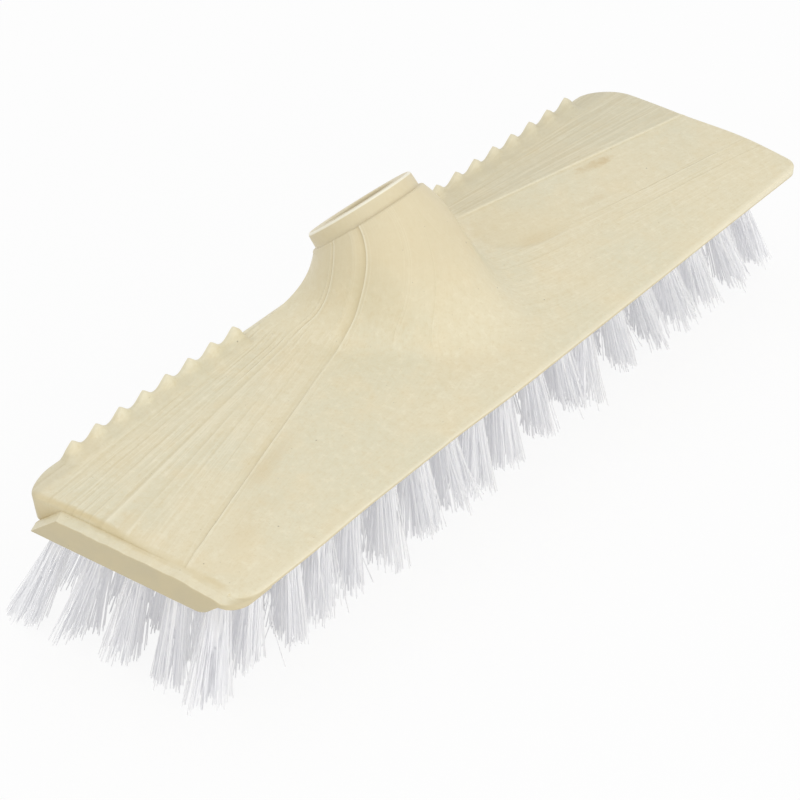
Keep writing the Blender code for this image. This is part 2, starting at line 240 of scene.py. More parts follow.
@dataclass(frozen=True)
class CreamPlastic:
    """Satin cream plastic, moulded with the relief of a wooden board: raised grain lines, fine streaks and a ridge."""

    color: Triple = (0.770, 0.695, 0.495)
    grey_cast: Triple = (0.715, 0.680, 0.510)
    warm_cast: Triple = (0.790, 0.680, 0.455)
    # hollow: darker tan for random mottling and grain streaks, and for painted shade in creases, grooves, the pocket,
    # before the ridge, on the lip's face and under the rim.
    hollow: Triple = (0.660, 0.545, 0.310)
    # Painted shade laid over the neck and collar, above the board's top.
    neck_shade: Triple = (0.700, 0.600, 0.390)
    # shade: painted shade on the lip's face, the rim, the teeth's valleys and the collar's bore, and the darker part
    # behind the ridge.
    shade: Triple = (0.540, 0.490, 0.350)
    stain: Triple = (0.560, 0.400, 0.170)
    # bright: lighter cream for random mottling and grain crests, and for painted highlights on edges, grain lines, the
    # ridge and the teeth.
    bright: Triple = (0.860, 0.800, 0.610)
    # Painted highlight colour of the collar's rolled rim.
    gleam: Triple = (0.930, 0.890, 0.740)
    speck: Triple = (0.230, 0.180, 0.110)
    roughness: float = 0.44

    # Heights of the relief, in millimetres.
    line_height: float = 0.13
    step_height: float = 0.24
    neck_step_height: float = 0.10
    edge_height: float = 0.04
    streak_height: float = 0.045
    hair_height: float = 0.018
    crest_height: float = 0.028
    peel_height: float = 0.010
    fine_height: float = 0.034
    wave_height: float = 0.20
    shelf_height: float = 0.10
    pocket_depth: float = 0.20
    spot_height: float = 0.012

    # The two long lines of the left half: their numbers and shares, and where they fade out towards the right.
    main_lines: tuple[Pair, ...] = ((7.0, 0.42), (11.0, 0.34))
    main_line_ends: Pair = (0.0, -0.012)

    # Places, as the coordinates at which a mark begins and is full.
    ridge_from: Pair = (0.044, 0.054)
    neck_z: Pair = (0.046, 0.070)
    edge_off: Pair = (-0.0007, -0.0002)
    edge_in: Pair = (0.0020, 0.0005)
    crease_x: float = -0.1498
    crease_width: Pair = (0.0022, 0.0002)
    crease_front: Pair = (-0.037, -0.031)
    lip_top_in: Pair = (-0.1512, -0.1517)
    lip_top_out: Pair = (-0.15497, -0.15490)
    lip_face: Pair = (-0.1545, -0.1549)
    rim_z: Pair = (0.0417, 0.0412)
    rim_y: Pair = (-0.0345, -0.0365)
    teeth_y: Pair = (0.0340, 0.0360)
    teeth_x: Pair = (0.046, 0.050)
    tooth_crest: Pair = (0.0474, 0.0490)
    tooth_valley: Pair = (0.0474, 0.0462)

    # Worn stains: X and Y of the middle, half lengths along and across, strength.
    stains: tuple[tuple[float, float, float, float, float], ...] = (
        (0.1030, 0.0110, 0.0085, 0.0024, 0.55),
        (0.0845, -0.0015, 0.0070, 0.0018, 0.30),
        (0.0520, 0.0000, 0.0120, 0.0030, 0.16),
        (-0.1000, -0.0090, 0.0160, 0.0030, 0.22),
        (-0.1180, -0.0200, 0.0200, 0.0050, 0.14),
    )
    # Dark specks: cells per metre, radius as a share of a cell, strength.
    specks: tuple[Triple, ...] = ((210.0, 0.05, 0.30), (95.0, 0.034, 0.55))

    def material(self) -> bpy.types.Material:
        """Make the material. Grain follows the flow and relief that the mesh carries; distances to lines are in mm."""
        graph = Graph(bpy.data.materials.new("cream_plastic"))
        place = graph.node("ShaderNodeTexCoord").outputs["Object"]
        x, y, z = graph.parts(place)
        y = y - HEAD_SHIFT_Y
        run, grain, ring = graph.attribute(FLOW)
        # The relief's third number is the collar's painted light: a painted highlight above 0, painted shade below 0.
        gap, strength, rim = graph.attribute(RELIEF)

        broad = graph.noise(place, 26.0, 3.0)
        cloud = graph.noise(place, 85.0, 4.0, 0.6)
        fine = graph.noise(place, 900.0, 3.0, 0.6)
        spot = graph.noise(place, 380.0, 4.0, 0.7)
        peel = graph.noise(place, 1500.0, 2.0)
        wander = graph.noise(graph.vector(run * 8.0, grain * 30.0, 0.0), 1.0, 2.0)
        streak = graph.noise(graph.vector(run * 9.0, grain * 520.0, 0.0), 1.0, 2.5, 0.6)
        hair = graph.noise(graph.vector(run * 45.0, grain * 1700.0, 3.0), 1.0, 2.0, 0.6)

        # Grain lines: the number of the last line, and the way after it and before the next one.
        on_neck = strength.between(*NECK_LINES)
        on_skin = strength.between(0.0, 0.02)
        texture = strength.least(0.8) * (1.0 - on_neck * 0.75)
        count = ring + (wander - 0.5) * (1.0 - on_neck) * 1.5 / gap
        number, after = count.floor(), count.fraction()
        before = (1.0 - after) * gap
        after = after * gap
        rise = (1.0 - before / 0.8).clamped() * self.line_share(graph, number + 1.0, run)
        fall = (1.0 - after / 0.28).clamped() * self.line_share(graph, number, run)
        here = on_neck.greatest(self.main_line(number, x) * on_skin)
        ahead = on_neck.greatest(self.main_line(number + 1.0, x) * on_skin)
        step = after.between(0.0, STEP_WIDTH) * (after / gap).between(*STEP_RETURN) * here
        # Painted shadow on the low side of each step, fading towards the next line.
        below_step = (after / gap).between(0.62, 0.0) * here
        edge = (after.between(0.25, 0.05) * here).greatest(before.between(0.75, 0.15) * ahead)
        line = rise.greatest(fall) * strength * (1.0 - on_neck)
        groove = (1.0 - (after - 0.3).absolute() / (gap * 0.08 + 0.3)).clamped()
        groove = groove * self.line_share(graph, number, run) * strength * (1.0 - here * 0.8)
        crest = (1.0 - (streak - 0.5).absolute() / 0.032).clamped() * (texture * 0.95 + 0.12)

        # The ridge of the right half, in millimetres behind it, and the shallow pocket in front of it.
        from_ridge = (y - (RIDGE_START[1] - (x - RIDGE_START[0]) * RIDGE_SLOPE)) * 1000.0
        shown = x.between(*self.ridge_from)
        bead = (1.0 - from_ridge.absolute().between(0.2, 0.75)) * shown
        shelf = from_ridge.between(-0.9, -0.1) * shown
        under = from_ridge.between(-2.2, -0.7) * from_ridge.between(-0.5, -0.9) * shown
        behind = from_ridge.between(0.0, 1.5) * shown
        pocket = from_ridge.between(0.0, -1.5) * self.oval(x - 0.062, y - 0.0105, 0.0222, 0.0150).between(1.12, 0.86)
        pocket = pocket * x.between(0.088, 0.048)

        height = (
            line * self.line_height
            - step * (self.step_height - on_neck * (self.step_height - self.neck_step_height))
            + edge * self.edge_height
            + (streak * self.streak_height + hair * self.hair_height) * (texture * 0.8 + 0.25)
            + crest * self.crest_height
            + peel * self.peel_height
            + fine * self.fine_height
            + broad * self.wave_height
            + shelf * self.shelf_height
            - pocket * self.pocket_depth
            + (spot - 0.5) * self.spot_height
        )
        bump = graph.node("ShaderNodeBump", inputs={"Strength": 1.0, "Distance": 0.001, "Height": height})

        layers = [
            (broad.between(0.38, 0.62) * 0.60, self.grey_cast),
            (cloud.between(0.45, 0.75) * 0.50, self.warm_cast),
            (spot.between(0.50, 0.72) * 0.22, self.hollow),
            (spot.between(0.50, 0.30) * 0.42, self.bright),
            (fine.between(0.48, 0.72) * 0.26, self.hollow),
            # painted shade over the neck and collar
            (z.between(*self.neck_z) * 0.66, self.neck_shade),
            (behind * (0.32 + streak.between(0.40, 0.70) * 0.16), self.shade),
            (streak.between(0.50, 0.8) * (texture * 0.26 + 0.03), self.hollow),
            ((crest * 0.52).clamped(), self.bright),
            ((hair.between(0.52, 0.75) * (texture * 0.34 + 0.04)).clamped(), self.hollow),
            # painted shadow beside the neck's steps
            (below_step * 0.40, self.hollow),
            # painted shade along the grooves of the grain lines
            (groove * 0.34, self.hollow),
            # painted highlight on the slope up to each grain line
            ((rise**2.0 * strength * 0.55).clamped(), self.bright),
            # painted highlight along the long lines' edges
            (edge * 0.80, self.bright),
            # painted shade just in front of the ridge
            (under * 0.25, self.hollow),
            # painted shade in the shallow pocket, on top of its depth in the bump
            (pocket * 0.20, self.hollow),
            # painted highlight on the ridge's bead
            (bead * 0.35, self.bright),
        ]
        layers += self.moulding(x, y, z, broad, cloud)
        for middle_x, middle_y, half_x, half_y, share in self.stains:
            along = x - middle_x
            across = y - middle_y + along * (RIDGE_SLOPE if middle_x > 0 else -RIDGE_SLOPE)
            far = self.oval(along, across, half_x, half_y) + (spot - 0.5) * 4.0
            layers.append((far.between(1.5, -0.2) * cloud.between(0.34, 0.60) * share, self.stain))
        # Painted highlight on the collar's rolled rim; painted shade in its bore and in the crease at its foot.
        layers += [(rim.clamped() * 0.9, self.gleam), ((0.0 - rim).clamped() * 0.6, self.shade)]
        for scale, radius, share in self.specks:
            inputs = {"Vector": place, "Scale": scale, "Randomness": 1.0}
            cells = graph.node("ShaderNodeTexVoronoi", {"feature": "F1"}, inputs)
            dot = Value(graph, cells.outputs["Distance"]).between(radius, radius * 0.55)
            layers.append((dot * share, self.speck))

        rough = self.roughness + (cloud - 0.5) * 0.22 + streak.between(0.5, 0.8) * 0.05 - rim.clamped() * 0.12
        finish = {"Base Color": graph.painted(self.color, layers), "Roughness": rough.clamped()}
        graph.fill(graph.shader, {**finish, "Normal": bump.outputs[0], "Specular IOR Level": 0.45})
        return graph.owner

    def moulding(self, x: Value, y: Value, z: Value, broad: Value, cloud: Value) -> list[tuple[Value, Triple]]:
        """Marks of the moulding, mostly painted highlights and painted shade: the board's edge, the lip, the front rim
        and the teeth.

        Args:
            x: Place along the block.
            y: Place across it.
            z: Height.
            broad: A broad noise.
            cloud: A finer noise.

        Returns:
            The shares of the marks and their colours.
        """
        end = (y - END_SLANT_MIDDLE) * (x.between(0.09, 0.14) * END_SLANT) + HALF_LENGTH
        ends = (end - x.absolute()).least(HALF_WIDTH - y.absolute())
        edge_highlight = ends.between(*self.edge_in) * ends.between(*self.edge_off)
        crease = (x - self.crease_x + (cloud - 0.5) * 0.0036).absolute().between(*self.crease_width)
        crease = crease * y.between(*self.crease_front)
        lip_top = x.between(*self.lip_top_in) * x.between(*self.lip_top_out)
        face = x.between(*self.lip_face)
        corner = self.oval(y + 0.0335, z - 0.0368, 0.0038, 0.0020).between(1.0, 0.1)
        under_rim = z.between(*self.rim_z) * y.between(*self.rim_y)
        teeth = y.between(*self.teeth_y) * x.absolute().between(*self.teeth_x)
        return [
            # painted highlight along the board's rounded top edge
            (edge_highlight * 0.45, self.bright),
            # painted shade in the hollow crease between the lip's top and the board
            (crease * (broad.between(0.35, 0.60) * 0.45 + 0.42), self.hollow),
            (lip_top * 0.15, self.bright),
            # painted shade on the lip's outer face, which faces away from the lamps
            (face * 0.85, self.hollow),
            (face * (cloud.between(0.35, 0.65) * 0.22 + 0.36), self.shade),
            # painted shade in the notch where the lip's face meets the corner web
            (face * corner * 0.45, self.shade),
            # painted shade on the lower part of the front rim and on the corner web
            (under_rim * 0.80, self.hollow),
            (under_rim * 0.35, self.shade),
            # painted highlight on the teeth's crests and painted shade in their valleys
            (z.between(*self.tooth_crest) * teeth * 0.45, self.bright),
            (z.between(*self.tooth_valley) * teeth * 0.30, self.shade),
        ]

    @staticmethod
    def oval(across: Value, up: Value, half_across: float, half_up: float) -> Value:
        """Squared distance from the middle of an oval, 1 on its edge."""
        return (across / half_across) ** 2.0 + (up / half_up) ** 2.0

    def main_line(self, number: Value, x: Value) -> Value:
        """Share of the long lines that run on from the neck across the left half, by the line's number."""
        first, second = ((number - line).absolute().between(0.6, 0.4) * share for line, share in self.main_lines)
        return (first + second) * x.between(*self.main_line_ends)

    @staticmethod
    def line_share(graph: Graph, number: Value, run: Value) -> Value:
        """Strength of one grain line, by its number, coming and going along its run."""
        return graph.noise(graph.vector(number * 7.31, run * 13.0, number * 3.17), 1.0, 2.0).between(0.34, 0.62)


@dataclass(frozen=True)
class WhiteNylon:
    """Milky nylon filament that lets light through, streaked with painted shade in the thick of a tuft and given a
    faint painted glow.
    """

    root: Triple = (0.82, 0.82, 0.85)
    tip: Triple = (0.80, 0.80, 0.81)
    pale: Triple = (0.89, 0.89, 0.90)
    # Painted shade between the filaments, streaked along the grooves of the cores.
    between: Triple = (0.68, 0.68, 0.71)
    roughness: float = 0.42
    light_through: float = 1.0
    light_depth: float = 0.002
    # A faint painted glow, standing in for light carried through the translucent filaments.
    painted_glow_color: Triple = (0.96, 0.96, 1.0)
    painted_glow: float = 0.115

    def material(self) -> bpy.types.Material:
        """Make the material, from the way down each strand, its shade and the place across a core's grooves."""
        graph = Graph(bpy.data.materials.new("white_nylon"))
        along, shade, groove = graph.attribute(STRAND)
        waver = graph.noise(graph.node("ShaderNodeTexCoord").outputs["Object"], 240.0, 2.0)
        streak = graph.noise(graph.vector(groove * 60.0, along * 1.5, groove.floor()), 1.0, 3.0, 0.7)
        layers = [
            (along.between(0.0, 0.4), self.tip),
            (shade * 0.6, self.pale),
            # painted shade in the cores' grooves
            (streak.between(0.50, 0.30) * groove.between(0.0, 0.02) * 0.18, self.between),
        ]
        finish = {
            "Base Color": graph.painted(self.root, layers),
            "Roughness": self.roughness + waver * 0.2,
            "Subsurface Weight": self.light_through,
            "Subsurface Radius": (1.0, 1.0, 1.0),
            "Subsurface Scale": self.light_depth,
            "Emission Color": (*self.painted_glow_color, 1.0),
            "Emission Strength": self.painted_glow,
        }
        graph.fill(graph.shader, finish)
        return graph.owner


@dataclass(frozen=True)
class PaleFloor:
    """Pale matte floor that keeps the shadow and reads as white to the camera."""

    color: Triple = (0.90, 0.90, 0.90)
    roughness: float = 0.9
    white_share: float = 0.88

    def material(self) -> bpy.types.Material:
        """Make the material: a matte surface, mixed with plain white for the rays that should see white."""
        graph = Graph(bpy.data.materials.new("pale_floor"))
        graph.fill(graph.shader, {"Base Color": (*self.color, 1.0), "Roughness": self.roughness})
        path = graph.node("ShaderNodeLightPath")
        rays = [Value(graph, path.outputs[name]) for name in ("Is Camera Ray", "Is Glossy Ray", "Is Transmission Ray")]
        seen = (rays[0] + rays[1] + rays[2]).clamped() * self.white_share
        white = graph.node("ShaderNodeEmission", inputs={"Color": (1.0, 1.0, 1.0, 1.0), "Strength": 1.0})
        both = graph.node("ShaderNodeMixShader", inputs={0: seen, 1: graph.shader.outputs[0], 2: white.outputs[0]})
        graph.fill(graph.tree.nodes["Material Output"], {"Surface": both.outputs[0]})
        return graph.owner


# ---------------------------------------------------------------- meshes


@dataclass
class Surface:
    """Closed surfaces in the making: points, faces, and the values at the points that the material reads."""

    points: Array
    quads: Array
    caps: Array
    values: dict[str, Array] = field(default_factory=dict)

    @staticmethod
    def tubes(rings: Array, values: dict[str, Array] | None = None, turned: bool = False) -> "Surface":
        """Join closed rings of points into tubes, with a flat face over each end.

        Args:
            rings: Array of shape (rings, points in a ring, 3), or the same for many tubes at once.
            values: Vectors at the same points, by attribute name.
            turned: Whether the faces are turned round, for rings that go down.

        Returns:
            The closed surface. Face (i, j) joins points j and j + 1 of rings i and i + 1.
        """
        levels, around = rings.shape[-3:-1]
        index = np.arange(rings[..., 0].size).reshape(-1, levels, around)
        after = np.roll(index, -1, axis=2)
        quads = np.stack([index[:, :-1], after[:, :-1], after[:, 1:], index[:, 1:]], axis=-1).reshape(-1, 4)
        caps = np.stack([index[:, 0, ::-1], index[:, -1]], axis=1).reshape(-1, around)
        way = -1 if turned else 1
        rows = {key: value.reshape(-1, 3) for key, value in (values or {}).items()}
        return Surface(rings.reshape(-1, 3), quads[:, ::way], caps[:, ::way], rows)


def smooth(share: Array) -> Array:
    """Smooth rise from 0 to 1: three times the square less twice the cube of the share."""
    kept = np.clip(share, 0.0, 1.0)
    return kept * kept * (3.0 - 2.0 * kept)


def from_knots(place: Array, knots: tuple[Pair, ...]) -> Array:
    """Values on straight stretches between knots of place and value."""
    return np.interp(place, *zip(*knots))


def quarter_turn(count: int) -> tuple[Array, Array]:
    """How far a quarter circle still is from its end, and how far it has come, as shares of its radius."""
    turn = np.linspace(0.0, QUARTER, count)
    return 1 - np.sin(turn), 1 - np.cos(turn)


def circle(turn: Array) -> Array:
    """Points at angles on a circle of radius 1, as X and Y."""
    return np.stack([np.cos(turn), np.sin(turn)], axis=-1)


def make_object(name: str, mesh: bpy.types.Mesh, material: bpy.types.Material | None) -> bpy.types.Object:
    """Link a mesh to the scene as one object at the origin.

    Args:
        name: Name of the piece.
        mesh: Its mesh, already in place.
        material: Its finish, or None for a tool that is removed again.

    Returns:
        The object.
    """
    mesh.materials.clear()
    if material:
        mesh.materials.append(material)
    piece = bpy.data.objects.new(name, mesh)
    bpy.context.scene.collection.objects.link(piece)
    return piece


def make_mesh(name: str, surfaces: list[Surface], sharp_angle: float | None = None) -> bpy.types.Mesh:
    """Put surfaces into one mesh, moved to its place, with their values at the points.

    Args:
        name: Name of the mesh.
        surfaces: Closed surfaces, in order, all with the same names of values.
        sharp_angle: Angle in degrees above which an edge is kept sharp. Where it is given, doubled points are
            merged, faces are pointed outwards and shading is smooth.

    Returns:
        The mesh.
    """
    points = np.concatenate([surface.points for surface in surfaces])
    starts = np.cumsum([0] + [len(surface.points) for surface in surfaces])
    faces = []
    for surface, start in zip(surfaces, starts):
        faces += (surface.quads + start).tolist() + (surface.caps + start).tolist()
    mesh = bpy.data.meshes.new(name)
    mesh.from_pydata((points + (0.0, HEAD_SHIFT_Y, 0.0)).tolist(), [], faces)
    for key in surfaces[0].values:
        rows = np.concatenate([surface.values[key] for surface in surfaces])
        mesh.attributes.new(key, "FLOAT_VECTOR", "POINT").data.foreach_set("vector", rows.astype(np.float32).ravel())
    if sharp_angle is not None:
        work = bmesh.new()
        work.from_mesh(mesh)
        bmesh.ops.remove_doubles(work, verts=work.verts, dist=1e-7)
        bmesh.ops.recalc_face_normals(work, faces=work.faces)
        work.to_mesh(mesh)
        work.free()
        mesh.shade_smooth()
        mesh.set_sharp_from_angle(angle=math.radians(sharp_angle))
    return mesh


# ---------------------------------------------------------------- block


@dataclass
class MouldedBlock:
    """The moulded block: board, neck and socket as one skin, with its teeth, its lip and its ridge."""

    half_length: float = HALF_LENGTH
    half_width: float = HALF_WIDTH
    top: float = 0.0445
    trim: float = 0.035
    crest_y: float = 0.013
    crest_rise: float = 0.0010
    front_drop: float = 0.0026
    rim_thickness: float = 0.0013
    rim_overhang: float = 0.0095
    underside_inset: float = 0.008
    wall_draft: float = 0.0008
    end_draft: float = 0.0015
    edge_radius: float = 0.0005
    bottom_radius: float = 0.0006
    end_roll: Pair = (0.0030, 0.0013)
    end_roll_run: Pair = (0.012, 0.0115)
    end_draft_run: float = 0.006
    end_turn: Pair = (0.095, 0.05)
    front_corner: Pair = (0.0080, 0.0060)
    right_front_corner: Pair = (0.0060, 0.0046)
    left_corner: Pair = (0.0150, 0.0065)
    right_corner: Pair = (0.0140, 0.0140)
    least_corner: float = 0.0008
    bow_depth: float = 0.0008
    bow_x: Pair = (0.070, 0.055)
    bow_y: Pair = (-0.030, 0.010)
    right_swell: float = 0.0020
    swell_x: Pair = (0.055, 0.095)
    swell_y: Pair = (0.010, 0.035)

    socket_tilt: float = math.radians(48.0)
    mouth: Triple = (0.0, 0.0323, 0.0720)
    collar_radius: float = 0.0187
    collar_height: float = 0.0052
    collar_roll: float = 0.0009
    bore_radius: float = 0.0127
    bore_taper: float = 0.0010
    bore_depth: float = 0.0340
    bore_roll: float = 0.0007
    shoulder: float = 0.0017
    shoulder_radius: float = 0.0009
    flare_half_width: float = 0.055
    flare_nose_y: float = -0.031
    flare_back_angle: float = math.radians(-35.0)
    flare_lean: Pair = (math.radians(42.0), math.radians(3.0))
    flare_pull: Pair = (0.010, 0.022)
    foot_pull: Pair = (0.6, 0.44)
    edge_margin: float = 0.0006
    neck_levels: int = 30
    # Rings of the socket, from and before, with painted shade (the bore, the collar's foot) or a painted highlight
    # (its rolled rim).
    rim_painted_light: tuple[tuple[int, int, float], ...] = ((0, 9, -0.7), (17, 20, 1.0), (24, 25, -0.6))
    smooth_rings: int = 25

    tooth_pitch: float = 0.0107
    tooth_height: float = 0.0051
    tooth_run: float = 0.0066
    tooth_valley: float = 0.0020
    tooth_gain: float = 0.0007
    tooth_numbers: tuple[int, int] = (5, 12)
    tooth_grain: float = 0.3
    # Shares and powers of the rounded and of the pointed wave of a row of teeth.
    tooth_shares: Pair = (0.62, 0.38)
    tooth_powers: Pair = (1.3, 1.7)
    tooth_end_run: float = 0.003
    tooth_depths: tuple[float, ...] = (
        8.0, 7.4, 6.8, 6.2, 5.6, 5.0, 4.4, 3.9, 3.4, 3.0, 2.6, 2.2, 1.9, 1.6, 1.3, 1.0, 0.7, 0.45,
    )

    lip_reach: float = 0.0045
    lip_top_drop: float = 0.0013
    lip_below_crown: float = 0.0009
    lip_bottom_drop: float = 0.0092
    lip_y: Pair = (-0.0355, 0.0335)
    lip_front_slant: float = 0.0055
    lip_edge: float = 0.00040
    lip_end_slant: float = 0.38
    lip_back_lean: float = 1.25
    lip_fillet: float = 0.0009
    # Slow waves of the lip's top: height, radians per metre along Y, start.
    lip_waves: tuple[Triple, ...] = ((0.00010, 520.0, 0.0), (0.00006, 1310.0, 1.0))
    web_start_x: float = -0.1380
    web_turn: Pair = (0.0080, 0.0063)
    web_thickness: float = 0.0017
    web_rolls: Pair = (0.0006, 0.0004)

    ridge_half_width: float = 0.00075
    ridge_height: float = 0.00022
    # Slow waves of the ridge's height: share of it, radians per metre along X.
    ridge_waves: tuple[Pair, ...] = ((0.18, 410.0), (0.12, 1130.0))

    hole_radius: float = 0.0027
    hole_depth: float = 0.006
    hole_flare: float = 0.0005
    hole_sides: int = 20

    # Grain lines of each half, as the millimetres across the grain at which they lie.
    left_lines: tuple[float, ...] = (
        -42.0, -33.0, -27.0, -21.5, -14.5, -7.5, 1.0, 9.3, 17.0, 20.5,
        23.2, 25.5, 27.8, 29.8, 31.5, 33.2, 35.0, 37.0, 39.0,
    )
    right_lines: tuple[float, ...] = (
        -42.0, -34.0, -27.0, -18.0, -13.0, -7.3, 0.5, 4.5, 11.0, 17.0,
        23.0, 28.0, 29.6, 31.2, 32.8, 34.4, 36.5, 38.2, 40.0,
    )
    # Strength of the lines and slope of their fan, by the same millimetres.
    neck_strength: tuple[Pair, ...] = (
        (-42.0, 0.0), (-24.5, 0.0), (-21.5, 0.50), (-18.5, 0.0), (-10.5, 0.0), (-7.5, 0.60), (-4.5, 0.0),
        (7.0, 0.0), (8.2, 1.6), (14.8, 1.6), (16.0, 0.0), (23.5, 0.0), (24.6, 1.4), (27.4, 1.4), (27.8, 0.0),
        (42.0, 0.0),
    )
    left_strength: tuple[Pair, ...] = (
        (-42.0, 0.10), (0.0, 0.12), (6.5, 0.20), (8.0, 0.80), (10.6, 0.80), (13.0, 0.20),
        (17.0, 0.40), (24.0, 0.80), (42.0, 0.80),
    )
    right_strength: tuple[Pair, ...] = (
        (-42.0, 0.20), (-18.0, 0.40), (-7.0, 0.60), (1.0, 0.85), (3.0, 0.20), (9.0, 0.12),
        (24.0, 0.12), (28.5, 0.55), (42.0, 0.60),
    )
    left_fan: tuple[Pair, ...] = (
        (-41.5, 0.05), (-20.0, 0.17), (0.0, 0.25), (10.0, 0.28), (18.0, 0.26), (23.0, 0.20),
        (25.9, 0.13), (37.0, 0.07), (41.5, 0.03),
    )
    right_fan: tuple[Pair, ...] = (
        (-41.5, 0.05), (-20.0, 0.16), (0.0, 0.20), (10.0, 0.21), (26.2, 0.195),
        (31.0, 0.12), (36.0, 0.09), (41.5, 0.03),
    )
    # Place across the neck's grain: its value at the collar's side, its fall per degree and the last angle that
    # counts. On the way down, the angles turn by some degrees and spread by a share.
    neck_grain: Triple = (0.0286, 0.000545, 110.0)
    neck_sweep: Pair = (24.3, 0.37)
    fan_start: float = 0.045
    rise_to_neck: Pair = (0.035, 0.030)
    step_depth: float = 0.00028

    def crown(self, y: Array) -> Array:
        """Height of the board's top: a parabola down from the crest to the back edge and a deeper one to the front."""
        back = self.top + self.crest_rise * (1 - ((y - self.crest_y) / (self.half_width - self.crest_y)) ** 2)
        fall = ((self.crest_y - y) / (self.half_width + self.crest_y)) ** 2
        front = self.top + self.crest_rise - (self.crest_rise + self.front_drop) * fall
        return np.where(y > self.crest_y, back, front)

    def board_top(self, flat: Array) -> Array:
        """Height of the board's top at points in plan: the crown, which is flatter at the front of the right end."""
        along = smooth((flat[..., 0] - self.swell_x[0]) / self.swell_x[1])
        across = smooth((self.swell_y[0] - flat[..., 1]) / self.swell_y[1])
        return self.crown(flat[..., 1]) + self.right_swell * along * across

    def underside(self, y: Array) -> Array:
        """Height of the underside: the trim plane, then a slope up to the thin front rim."""
        rim = self.top - self.front_drop - self.rim_thickness
        slope = (y + self.half_width - self.rim_overhang / 2) / (self.rim_overhang / 2)
        return rim + (self.trim - rim) * np.clip(slope, 0.0, 1.0)

    def half_stations(self, corner: Pair) -> tuple[Array, Array]:
        """Stations along half of the outline, closer together where the neck's back edge meets the board.

        Args:
            corner: Reach of this half's back corner along X and Y.

        Returns:
            The part of the outline that each station is on, and its share of the way along that part.
        """
        straight = self.half_length - corner[0]
        meeting = self.flare_half_width
        back_x = np.concatenate([np.linspace(straight, meeting, 42)[:-1], np.linspace(meeting, 0.0, 56)])
        shares = [np.linspace(0.0, 1.0, count)[:-1] for count in (72, 11, 31, 15)] + [1.0 - back_x / straight]
        parts = [np.full(len(share), part.value) for part, share in zip(Part, shares)]
        return np.concatenate(parts), np.concatenate(shares)

    def half_outline(self, side: int, inset: Array | float) -> Array:
        """Points of half of the outline, moved inwards.

        A straight front, an elliptical corner, a straight end, a second elliptical corner and a straight back.
        The corners shrink with the inset, so the outlines of two insets never cross. The right end stands out of
        square, and the front of the left half bows in.

        Args:
            side: 1 for the right half, -1 for the left.
            inset: Distance inwards, one number or one at each station.

        Returns:
            X and Y at each station.
        """
        corner, front = (
            (self.right_corner, self.right_front_corner) if side > 0 else (self.left_corner, self.front_corner)
        )
        part, share = self.half_stations(corner)
        length, width = self.half_length - inset, self.half_width - inset
        front_x, front_y = (np.maximum(reach - inset, self.least_corner) for reach in front)
        back_x, back_y = (np.maximum(reach - inset, self.least_corner) for reach in corner)
        sine, cosine = np.sin(share * QUARTER), np.cos(share * QUARTER)
        along = [
            share * (length - front_x),
            length - front_x + front_x * sine,
            length + 0 * share,
            length - back_x + back_x * cosine,
            (1 - share) * (length - back_x),
        ]
        across = [
            -width + 0 * share,
            -width + front_y * (1 - cosine),
            -width + front_y + share * (2 * width - front_y - back_y),
            width - back_y + back_y * sine,
            width + 0 * share,
        ]
        x, y = np.choose(part, along), np.choose(part, across)
        if side > 0:
            x = x + END_SLANT * (y - END_SLANT_MIDDLE) * smooth((x - self.end_turn[0]) / self.end_turn[1])
        else:
            along_bow = smooth(1.5 * (1.0 - np.abs(x - self.bow_x[0]) / self.bow_x[1]))
            y = y + self.bow_depth * along_bow * np.clip((self.bow_y[0] - y) / self.bow_y[1], 0.0, 1.0)
        return np.stack([x * side, y], axis=-1)

    @staticmethod
    def around(right: Array, left: Array) -> Array:
        """Join values of the right half and of the left half, backwards, into one closed round."""
        return np.concatenate([right, left[-2:0:-1]])

    def outline(self, inset: Array | float = 0.0) -> Array:
        """The whole outline, moved inwards by one number or by one at each station."""
        half = len(self.half_stations(self.right_corner)[0])
        inset = np.broadcast_to(inset, 2 * half - 2)
        left = np.concatenate([inset[:1], inset[half:][::-1], inset[half - 1 : half]])
        return self.around(self.half_outline(1, inset[:half]), self.half_outline(-1, left))

    def angles(self) -> Array:
        """Angle round the socket of each station: 90 degrees at the front and -90 at the back.

        It falls evenly with the way along the outline, as far as the point where the flare meets the back edge,
        and from there evenly with X.
        """
        halves = []
        for side in (1, -1):
            points = self.half_outline(side, 0.0)
            steps = np.linalg.norm(np.diff(points, axis=0), axis=1)
            way = np.concatenate([[0.0], np.cumsum(steps)])
            x = np.abs(points[:, 0])
            behind = (points[:, 1] > self.half_width - 1e-6) & (x <= self.flare_half_width + 1e-6)
            front = QUARTER - (QUARTER - self.flare_back_angle) * way / way[behind][0]
            back = -QUARTER + (QUARTER + self.flare_back_angle) * x / self.flare_half_width
            halves.append(np.where(behind, back, front))
        return self.around(*halves)

    def sides(self) -> Array:
        """1 for the stations of the right half, and -1 for those of the left."""
        ones = np.ones(len(self.half_stations(self.right_corner)[0]))
        return self.around(ones, -ones)

    def socket_axes(self) -> tuple[Array, Array]:
        """The axis of the socket, and the direction away from it at each station."""
        angle, side = self.angles(), self.sides()
        sine, cosine = math.sin(self.socket_tilt), math.cos(self.socket_tilt)
        outward = np.stack([side * np.cos(angle), -sine * np.sin(angle), cosine * np.sin(angle)], axis=-1)
        return np.array([0.0, cosine, sine]), outward

